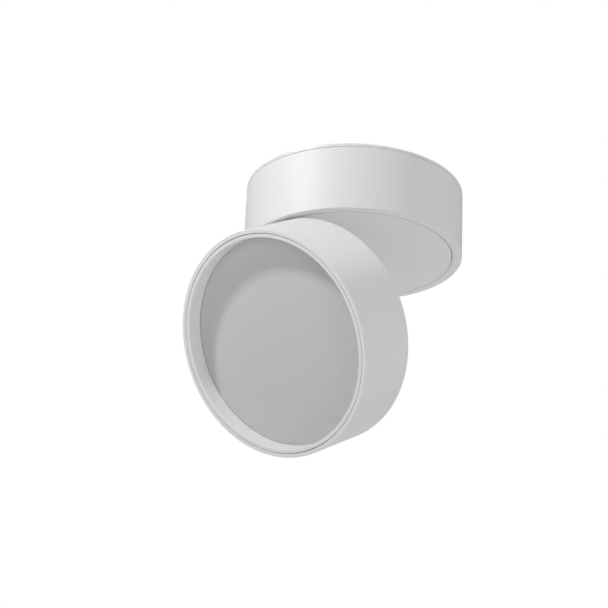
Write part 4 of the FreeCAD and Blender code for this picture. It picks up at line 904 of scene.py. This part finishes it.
class SPOTLIGHT_OT_canopy_shell(bpy.types.Operator):
    """Turned canopy drum with its seam, lip, inner web and screw holes"""
    bl_idname = "spotlight.canopy_shell"
    bl_label = "Canopy drum"

    def execute(self, context):
        settings = context.scene.spotlight
        sizes = settings.canopy
        low, high = span("canopy_shell")
        web_top = span("terminal_block")[0].z
        web_low = span("lower_slip_washer")[1].z + sizes.web_play
        recess = sizes.radius - sizes.lip
        seam = sizes.radius - sizes.seam_depth
        inside = sizes.radius - sizes.wall
        bore = settings.swivel.axle_hole
        seam_low = high.z - sizes.seam_height
        ledge_low = low.z + sizes.labyrinth_depth
        ledge_top = ledge_low + sizes.labyrinth_sheet
        ledge = recess - sizes.labyrinth_reach
        section = rounded([(bore, web_low), (recess, web_low, sizes.rim_round), (recess, ledge_top),
                           (ledge, ledge_top), (ledge, ledge_low), (recess, ledge_low),
                           (recess, low.z, sizes.rim_round / 2), (sizes.radius, low.z, sizes.rim_round),
                           (sizes.radius, seam_low, sizes.seam_round), (seam, seam_low), (seam, high.z),
                           (inside, high.z), (inside, web_top, sizes.web_round), (bore, web_top)])
        shell = solid(lathe(section, settings.segments))
        boss_top = span("earth_washer")[0].z
        combine(shell, "UNION", [upright("earth_washer", web_top - PAST, boss_top)])
        screws = settings.screws
        places = pair_places("driver_screws", screws.small_head)
        places += pair_places("block_screws", screws.small_head)
        holes = holes_at(places, screws.small_hole, web_low - PAST, web_top + PAST)
        holes.append(upright("canopy_stop_pin", web_low - PAST, web_top + PAST))
        earth = circle(sizes.screw_hole, *middle_of("earth_screw"))
        holes.append(prism(earth, web_top - PAST, boss_top + PAST))
        side = circle(sizes.screw_hole, 0, -sizes.screw_drop)
        for turn in turns(LUGS):
            hole = slab(side, inside - 2 * PAST, sizes.radius + PAST)
            holes.append(placed(hole, about_z(sizes.screw_angle + turn)))
        combine(shell, "DIFFERENCE", holes)
        add_piece(shell, "canopy_drum", "canopy_shell")
        return {"FINISHED"}


class SPOTLIGHT_OT_side_screws(bpy.types.Operator):
    """Set screws that hold the canopy drum on the ceiling plate's lugs"""
    bl_idname = "spotlight.side_screws"
    bl_label = "Side screws"

    def execute(self, context):
        sizes = context.scene.spotlight.canopy
        chamfer = context.scene.spotlight.screws.chamfer
        radius = sizes.screw_hole - chamfer / 6
        outer = sizes.radius - sizes.screw_sink
        inner = outer - sizes.screw_length
        section = [(0, inner), (radius - chamfer, inner), (radius, inner + chamfer),
                   (radius, outer - chamfer), (radius - chamfer, outer), (0, outer)]
        drop = Matrix.Translation((0, 0, -sizes.screw_drop))
        for count, turn in enumerate(turns(LUGS)):
            screw = solid(lathe(section, context.scene.spotlight.screws.sides))
            socket = hex_socket(sizes.screw_socket, outer - sizes.socket_depth, outer + PAST)
            combine(screw, "DIFFERENCE", [socket])
            screw.data.transform(about_z(sizes.screw_angle + turn) @ drop @ ALONG_X)
            add_piece(screw, "side_set_screw_%d" % (count + 1), "side_screws")
        return {"FINISHED"}


class SPOTLIGHT_OT_swivel_disc(bpy.types.Operator):
    """Disc that turns in the canopy's underside, with the lead bush in it"""
    bl_idname = "spotlight.swivel_disc"
    bl_label = "Swivel disc"

    def execute(self, context):
        settings = context.scene.spotlight
        sizes = settings.swivel
        low, high = span("swivel_disc")
        section = rounded([(0, low.z), (sizes.radius, low.z, sizes.rim_round),
                           (sizes.radius, high.z, sizes.top_round), (0, high.z)])
        disc = solid(lathe(section, settings.segments))
        middle = middle_of("disc_bush")[1]
        bush_low, bush_high = span("disc_bush")
        half = sizes.lead_groove / 2
        groove = rectangle(-half, half, middle - half, half, half * NEARLY_ROUND)
        screws = settings.screws
        axle_circle = span("axle_screws")[1].y - screws.head
        places = around(axle_circle, *AXLE_SCREWS)
        holes = holes_at(places, screws.hole, low.z + sizes.axle_floor, high.z + PAST)
        for x, y in bracket_screw_places(screws.head):
            cone = lathe(countersink(screws, low.z - PAST, high.z), screws.sides)
            holes.append(placed(cone, Matrix.Translation((x, y, 0))))
        holes.append(upright("swivel_stop_pin", span("swivel_stop_pin")[0].z, high.z + PAST))
        neck = upright("disc_bush", low.z - PAST, high.z + PAST, sizes.bush_neck - bush_high.x)
        combine(disc, "DIFFERENCE", [prism(groove, bush_high.z, high.z + PAST)])
        combine(disc, "DIFFERENCE", holes)
        combine(disc, "DIFFERENCE", [neck])
        add_piece(disc, "swivel_disc_turned", "swivel_disc")
        section = lead_bush_outline(sizes, bush_low.z, low.z, low.z, bush_high.z, bush_high.x)
        bush = lathe(section, screws.bush_sides)
        add_piece(solid(placed(bush, Matrix.Translation((0, middle, 0)))), "disc_lead_bush", "disc_bush")
        return {"FINISHED"}


class SPOTLIGHT_OT_hinge_bracket(bpy.types.Operator):
    """Bracket under the swivel disc, with two arms that end in eyes for the hinge pin"""
    bl_idname = "spotlight.hinge_bracket"
    bl_label = "Hinge bracket"

    def execute(self, context):
        sizes = context.scene.spotlight.hinge
        underside = span("swivel_disc")[0].z
        plate_back = span("hinge_bracket")[1].y
        disc = context.scene.spotlight.swivel.radius
        end = sizes.rim_gap - math.sqrt(disc ** 2 - sizes.half_width ** 2)
        root = end + sizes.arm_root
        plate_low = underside - sizes.sheet
        top = underside - sizes.arm_drop
        back = HINGE.y + sizes.arm_back
        away = Vector((root - HINGE.y, plate_low - HINGE.z))
        touch = math.atan2(away.y, away.x) - math.acos(sizes.knuckle / away.length)
        eye = arc((HINGE.y, HINGE.z), sizes.knuckle, math.pi / 2, touch + 2 * math.pi)
        side = [(root, top), (back, top), (back, HINGE.z + sizes.knuckle)] + eye + [(root, plate_low)]
        half = sizes.half_width
        plate = rectangle(-half, half, end, plate_back, sizes.sheet_corner)
        bracket = solid(prism(plate, plate_low, underside))
        combine(bracket, "UNION", [slab(side, -half, -sizes.arm_inside), slab(side, sizes.arm_inside, half)])
        screws = context.scene.spotlight.screws
        places = bracket_screw_places(screws.head)
        cuts = holes_at(places, screws.hole, plate_low - PAST, underside + PAST)
        cuts.append(slab(circle(sizes.bore + sizes.pin_play / 2, HINGE.y, HINGE.z), -disc, disc))
        combine(bracket, "DIFFERENCE", cuts)
        bevelled(bracket, sizes.edge)
        add_piece(bracket, "hinge_bracket_cast", "hinge_bracket")
        return {"FINISHED"}


class SPOTLIGHT_OT_hinge_pin(bpy.types.Operator):
    """Slotted hinge pin"""
    bl_idname = "spotlight.hinge_pin"
    bl_label = "Hinge pin"

    def execute(self, context):
        sizes = context.scene.spotlight.hinge
        low, high = span("hinge_pin")
        head = (high.y - low.y) / 2
        thick = high.x - sizes.half_width
        tip = thick * 0.35
        root = thick * 0.15
        rim = thick * 0.4
        section = rounded([(0, low.x), (sizes.bore, low.x, tip), (sizes.bore, sizes.half_width),
                           (head, sizes.half_width, root), (head, high.x, rim), (0, high.x)])
        pin = solid(placed(lathe(section, context.scene.spotlight.screws.sides), ALONG_X))
        pin.data.transform(Matrix.Translation((0, HINGE.y, HINGE.z)))
        half = sizes.pin_slot / 2
        slot = rectangle(HINGE.y - 2 * head, HINGE.y + 2 * head, HINGE.z - half, HINGE.z + half)
        combine(pin, "DIFFERENCE", [slab(slot, high.x - thick / 2, high.x + PAST)])
        add_piece(pin, "hinge_pin_slotted", "hinge_pin")
        return {"FINISHED"}


class SPOTLIGHT_OT_hinge_leaf(bpy.types.Operator):
    """Leaf in the head's pocket, with the knuckle that turns on the hinge pin"""
    bl_idname = "spotlight.hinge_leaf"
    bl_label = "Hinge leaf"

    def execute(self, context):
        sizes = context.scene.spotlight.hinge
        low, high = span("hinge_leaf")
        foot_top = low.z + sizes.foot
        foot_end = high.y - sizes.foot_length
        foot = rectangle(low.x, high.x, foot_end, high.y, sizes.foot_corner)
        leaf = solid(prism(foot, low.z, foot_top))
        eye = arc((HINGE.y, HINGE.z), sizes.knuckle, DOWN, 0)
        joined = foot_end + PAST
        neck = [(joined, foot_top), (joined, low.z), (HINGE.y + sizes.neck_setback, low.z)] + eye
        combine(leaf, "UNION", [slab(neck, -sizes.knuckle_half, sizes.knuckle_half)])
        screws = context.scene.spotlight.screws
        places = pair_places("leaf_screws", screws.small_head)
        cuts = holes_at(places, screws.small_hole, low.z - PAST, foot_top + PAST)
        cuts.append(slab(circle(sizes.bore + sizes.pin_play, HINGE.y, HINGE.z), 2 * low.x, 2 * high.x))
        combine(leaf, "DIFFERENCE", cuts)
        bevelled(leaf, sizes.edge)
        add_piece(leaf, "hinge_leaf_cast", "hinge_leaf")
        return {"FINISHED"}


def pocket_outline(half, end, reach):
    """Plan of the hinge pocket, closed by an arc under the shell's outer skin."""
    side = math.asin(half / reach)
    return [(half, end), (-half, end)] + arc((0, 0), reach, DOWN - side, DOWN + side)


class SPOTLIGHT_OT_head_shell(bpy.types.Operator):
    """Turned shell of the lamp head, with the hinge pocket in its rear rim"""
    bl_idname = "spotlight.head_shell"
    bl_label = "Head shell"

    def execute(self, context):
        settings = context.scene.spotlight
        sizes = settings.head
        low, high = span("head_shell")
        inside = sizes.radius - sizes.wall
        ledge_top = span("heat_sink")[0].z
        ledge_low = ledge_top - sizes.ledge_thickness
        ledge = inside - sizes.ledge_width
        snap = span("trim_ring")[1]
        snap_top = snap.z + sizes.catch_play
        snap_low = snap.z - sizes.catch_height - sizes.catch_play
        snap_out = inside - sizes.trim_seam + sizes.catch_out + sizes.catch_play
        section = rounded([(inside, high.z, sizes.rim_round / 2), (sizes.radius, high.z, sizes.rim_round),
                           (sizes.radius, low.z, sizes.rim_round), (inside, low.z, sizes.seam_edge),
                           (inside, snap_low), (snap_out, snap_low), (snap_out, snap_top), (inside, snap_top),
                           (inside, ledge_low), (ledge, ledge_low), (ledge, ledge_top), (inside, ledge_top)])
        shell = solid(lathe(section, settings.segments))
        pocket_low = span("hinge_leaf")[0].z
        plan = pocket_outline(sizes.pocket_half, -sizes.radius + sizes.pocket_length,
                              sizes.radius - sizes.pocket_skin)
        screws = settings.screws
        places = around(inside - sizes.ledge_width / 2, *SINK_SCREWS)
        holes = holes_at(places, screws.small_hole, ledge_low - PAST, ledge_top + PAST)
        combine(shell, "DIFFERENCE", [prism(plan, pocket_low, high.z + PAST)] + holes)
        add_piece(shell, "head_drum", "head_shell")
        return {"FINISHED"}


class SPOTLIGHT_OT_rear_cover(bpy.types.Operator):
    """Rear cover with its hinge pocket, lead bush and countersinks for four screws"""
    bl_idname = "spotlight.rear_cover"
    bl_label = "Rear cover"

    def execute(self, context):
        settings = context.scene.spotlight
        sizes = settings.head
        low, high = span("rear_cover")
        sheet_low = high.z - sizes.cover_thickness
        pocket_low = span("hinge_leaf")[0].z
        section = rounded([(0, sheet_low), (high.x, sheet_low), (high.x, high.z, sizes.rim_round / 2),
                           (0, high.z)])
        cover = solid(lathe(section, settings.segments))
        end = -sizes.radius + sizes.pocket_length
        wall = sizes.pocket_wall
        tray = pocket_outline(sizes.pocket_half + wall, end + wall, high.x)
        combine(cover, "UNION", [prism(tray, low.z, sheet_low + sizes.cover_thickness / 3)])
        pocket = pocket_outline(sizes.pocket_half, end, sizes.radius)
        middle = middle_of("head_bush")[1]
        bush_low, bush_high = span("head_bush")
        screws = settings.screws
        play = settings.swivel.bush_neck - bush_high.x
        cuts = [prism(pocket, pocket_low, high.z + PAST),
                upright("head_bush", low.z - PAST, high.z + PAST, play)]
        for x, y in around(sizes.screw_circle, *COVER_SCREWS):
            cone = lathe(countersink(screws, sheet_low - PAST, high.z), screws.sides)
            cuts.append(placed(cone, Matrix.Translation((x, y, 0))))
        combine(cover, "DIFFERENCE", cuts)
        leaf_holes = pair_places("leaf_screws", screws.small_head)
        combine(cover, "DIFFERENCE", holes_at(leaf_holes, screws.small_hole, low.z - PAST, pocket_low + PAST))
        add_piece(cover, "rear_cover_pressed", "rear_cover")
        section = lead_bush_outline(settings.swivel, high.z, bush_high.z, bush_low.z, high.z, bush_high.x)
        bush = lathe(section, screws.bush_sides)
        add_piece(solid(placed(bush, Matrix.Translation((0, middle, 0)))), "head_lead_bush", "head_bush")
        return {"FINISHED"}


class SPOTLIGHT_OT_cover_screws(bpy.types.Operator):
    """Countersunk socket screws of the rear cover"""
    bl_idname = "spotlight.cover_screws"
    bl_label = "Rear cover screws"

    def execute(self, context):
        screws = context.scene.spotlight.screws
        low, high = span("rear_cover_screws")
        head = screws.head
        thread = screws.thread
        edge = screws.chamfer / 4
        section = [(0, low.z), (thread - screws.chamfer, low.z), (thread, low.z + screws.chamfer),
                   (thread, high.z - head + thread), (head - edge, high.z - edge), (head - edge, high.z),
                   (0, high.z)]
        places = around(context.scene.spotlight.head.screw_circle, *COVER_SCREWS)
        for count, (x, y) in enumerate(places):
            screw = solid(lathe(section, screws.sides))
            combine(screw, "DIFFERENCE", [hex_socket(head / 2, high.z - head + thread, high.z + PAST)])
            screw.data.transform(Matrix.Translation((x, y, 0)))
            add_piece(screw, "cover_screw_%d" % (count + 1), "rear_cover_screws")
        return {"FINISHED"}


class SPOTLIGHT_OT_trim_ring(bpy.types.Operator):
    """Deep trim ring that snaps into the head's front"""
    bl_idname = "spotlight.trim_ring"
    bl_label = "Trim ring"

    def execute(self, context):
        settings = context.scene.spotlight
        sizes = settings.head
        low, high = span("trim_ring")
        outer = sizes.radius - sizes.wall - sizes.trim_seam
        seat = span("diffuser_gasket")[0].z
        skirt = outer - sizes.skirt
        inside = outer - sizes.trim_width
        section = rounded([(inside, low.z, sizes.trim_round), (outer, low.z, sizes.seam_edge),
                           (outer, high.z, sizes.skirt / 4), (skirt, high.z, sizes.skirt / 4), (skirt, seat),
                           (inside, seat, sizes.skirt / 6)])
        ring = solid(lathe(section, settings.segments))
        half = math.asin(sizes.catch_width / 2 / outer)
        catch = arc((0, 0), outer + sizes.catch_out, -half, half)
        catch += arc((0, 0), skirt + sizes.skirt / 2, half, -half)
        catches = []
        for turn in turns(*TRIM_CATCHES):
            hook = prism(catch, high.z - sizes.catch_height, high.z - TINY)
            catches.append(placed(hook, about_z(turn)))
        combine(ring, "UNION", catches)
        add_piece(ring, "trim_ring_turned", "trim_ring")
        return {"FINISHED"}


class SPOTLIGHT_OT_diffuser(bpy.types.Operator):
    """Domed opal diffuser behind the trim ring"""
    bl_idname = "spotlight.diffuser"
    bl_label = "Diffuser"

    def execute(self, context):
        settings = context.scene.spotlight
        low, high = span("diffuser")
        edge = span("diffuser_gasket")[1].z
        head = settings.head
        face = head.radius - head.wall - head.trim_seam - head.trim_width - head.face_inset
        rise = edge - low.z
        shares = [k / head.diffuser_rings for k in range(head.diffuser_rings + 1)]
        dome = [(face * share, low.z + rise * share ** head.diffuser_fullness) for share in shares]
        hollow = [(r, z + head.diffuser_skin) for r, z in dome if r < face - head.diffuser_rim]
        rim = [(high.x, edge), (high.x, high.z), (hollow[-1][0], high.z)]
        body = solid(lathe(dome + rim + hollow[::-1], settings.segments))
        add_piece(body, "opal_diffuser", "diffuser")
        return {"FINISHED"}


class SPOTLIGHT_OT_inner_works(bpy.types.Operator):
    """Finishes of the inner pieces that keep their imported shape"""
    bl_idname = "spotlight.inner_works"
    bl_label = "Inner works"

    def execute(self, context):
        for name, node in frame["nodes"].items():
            node.data.materials.clear()
            node.data.materials.append(finish_of(name))
        return {"FINISHED"}


# ---- studio ----
def compass(azimuth, height):
    """Direction towards a light or camera, 0 in front of the head and turning towards +X."""
    return Vector((math.sin(azimuth) * math.cos(height), -math.cos(azimuth) * math.cos(height),
                   math.sin(height)))


def lit_floor(studio):
    """Floor of a light table: opal sheet over an even white light, with broad faint clouds."""
    material, tree, where = start_material("lit_opal_floor")
    cloud = add_node(tree, "ShaderNodeTexNoise", {"Scale": per_metre(150 * MM), "Detail": 3.0}, where)
    tone = add_node(tree, "ShaderNodeMix",
                    {MIX_A: opaque(studio.floor_colour), MIX_B: opaque(studio.floor_colour, 0.97)},
                    {MIX_SHARE: (cloud, 0)}, data_type="RGBA")
    return end_material(material, {"Roughness": 0.8, "Emission Strength": studio.floor_glow},
                        {"Base Color": (tone, MIX_OUT), "Emission Color": (tone, MIX_OUT)})


def studio_world(studio):
    """White behind the object, and an even dim glow on it."""
    world = bpy.data.worlds.new("studio")
    world.use_nodes = True
    tree = world.node_tree
    tree.nodes.clear()
    glow = add_node(tree, "ShaderNodeBackground", {"Color": (1, 1, 1, 1), "Strength": studio.glow})
    white = add_node(tree, "ShaderNodeBackground", {"Color": (1, 1, 1, 1), "Strength": 1.0})
    ray = add_node(tree, "ShaderNodeLightPath")
    both = add_node(tree, "ShaderNodeMixShader",
                    links={0: (ray, "Is Camera Ray"), 1: (glow, 0), 2: (white, 0)})
    add_node(tree, "ShaderNodeOutputWorld", links={"Surface": (both, 0)})
    return world


def add_softbox(name, sizes, target):
    """Hangs a square softbox that faces the target."""
    light = bpy.data.lights.new(name, "AREA")
    light.shape = "SQUARE"
    light.size = sizes.side
    light.energy = sizes.power
    lamp = bpy.data.objects.new(name, light)
    direction = compass(sizes.azimuth, sizes.height)
    lamp.location = target + direction * sizes.distance
    lamp.rotation_euler = direction.to_track_quat("Z", "Y").to_euler()
    bpy.context.scene.collection.objects.link(lamp)


def aim(studio, target):
    """Camera's place and turn: it looks at the target, aimed off by yaw and pitch, then rolled."""
    direction = compass(studio.camera_azimuth, studio.camera_height)
    place = target + direction * studio.camera_distance
    up = Vector((0, 0, 1))
    right = (-direction).cross(up).normalized()
    over = right.cross(-direction)
    sight = -direction + right * math.tan(studio.camera_yaw) + over * math.tan(studio.camera_pitch)
    sight.normalize()
    right = sight.cross(up).normalized()
    over = right.cross(sight)
    roll = studio.camera_roll
    across = right * math.cos(roll) + over * math.sin(roll)
    upward = over * math.cos(roll) - right * math.sin(roll)
    turn = Matrix((across, upward, -sight)).transposed()
    return Matrix.Translation(place) @ turn.to_4x4()


class SPOTLIGHT_OT_studio(bpy.types.Operator):
    """Pale floor, soft lights and the camera"""
    bl_idname = "spotlight.studio"
    bl_label = "Studio"

    def execute(self, context):
        scene = context.scene
        settings = scene.spotlight
        studio = settings.studio
        reach = studio.floor_reach
        floor = solid(prism(rectangle(-reach, reach, -reach, reach),
                            -studio.floor_drop - studio.floor_sheet, -studio.floor_drop))
        floor.name = "studio_floor"
        floor.data.materials.append(lit_floor(studio))
        scene.world = studio_world(studio)
        rim = TILTED @ Vector((0, 0, span("head_shell")[0].z))
        for name in SOFTBOXES:
            add_softbox(name, getattr(settings, name), rim)
        camera = bpy.data.cameras.new("camera")
        camera.lens = studio.lens
        camera.sensor_width = studio.sensor
        view = bpy.data.objects.new("camera", camera)
        view.matrix_world = aim(studio, Vector((0, 0, -settings.canopy.depth)))
        scene.collection.objects.link(view)
        scene.camera = view
        scene.view_settings.view_transform = "Standard"
        return {"FINISHED"}


class SPOTLIGHT_PT_pieces(bpy.types.Panel):
    """Lists the light's pieces and their main sizes"""
    bl_idname = "SPOTLIGHT_PT_pieces"
    bl_label = "Ceiling spotlight"
    bl_space_type = "VIEW_3D"
    bl_region_type = "UI"
    bl_category = "Spotlight"

    def draw(self, context):
        settings = context.scene.spotlight
        column = self.layout.column()
        column.prop(settings, "segments")
        for operator in OPERATORS:
            column.operator(operator.bl_idname)
        for label in settings.__annotations__:
            group = getattr(settings, label)
            if label != "segments":
                box = self.layout.box()
                for name in group.__annotations__:
                    box.prop(group, name)


OPERATORS = (
    SPOTLIGHT_OT_studio, SPOTLIGHT_OT_inner_works, SPOTLIGHT_OT_ceiling_plate, SPOTLIGHT_OT_canopy_shell,
    SPOTLIGHT_OT_side_screws, SPOTLIGHT_OT_swivel_disc, SPOTLIGHT_OT_hinge_bracket, SPOTLIGHT_OT_hinge_pin,
    SPOTLIGHT_OT_hinge_leaf, SPOTLIGHT_OT_head_shell, SPOTLIGHT_OT_rear_cover, SPOTLIGHT_OT_cover_screws,
    SPOTLIGHT_OT_trim_ring, SPOTLIGHT_OT_diffuser,
)
CLASSES = (
    SPOTLIGHT_PG_screws, SPOTLIGHT_PG_canopy, SPOTLIGHT_PG_swivel, SPOTLIGHT_PG_hinge, SPOTLIGHT_PG_head,
    SPOTLIGHT_PG_finish, SPOTLIGHT_PG_studio, *SOFTBOXES.values(), SPOTLIGHT_PG_all, *OPERATORS,
    SPOTLIGHT_PT_pieces,
)


def register():
    for cls in CLASSES:
        bpy.utils.register_class(cls)
    bpy.types.Scene.spotlight = PointerProperty(type=SPOTLIGHT_PG_all)


def unregister():
    del bpy.types.Scene.spotlight
    for cls in reversed(CLASSES):
        bpy.utils.unregister_class(cls)


def main():
    register()
    for operator in OPERATORS:
        group, name = operator.bl_idname.split(".")
        getattr(getattr(bpy.ops, group), name)()


if __name__ == "__main__":
    main()
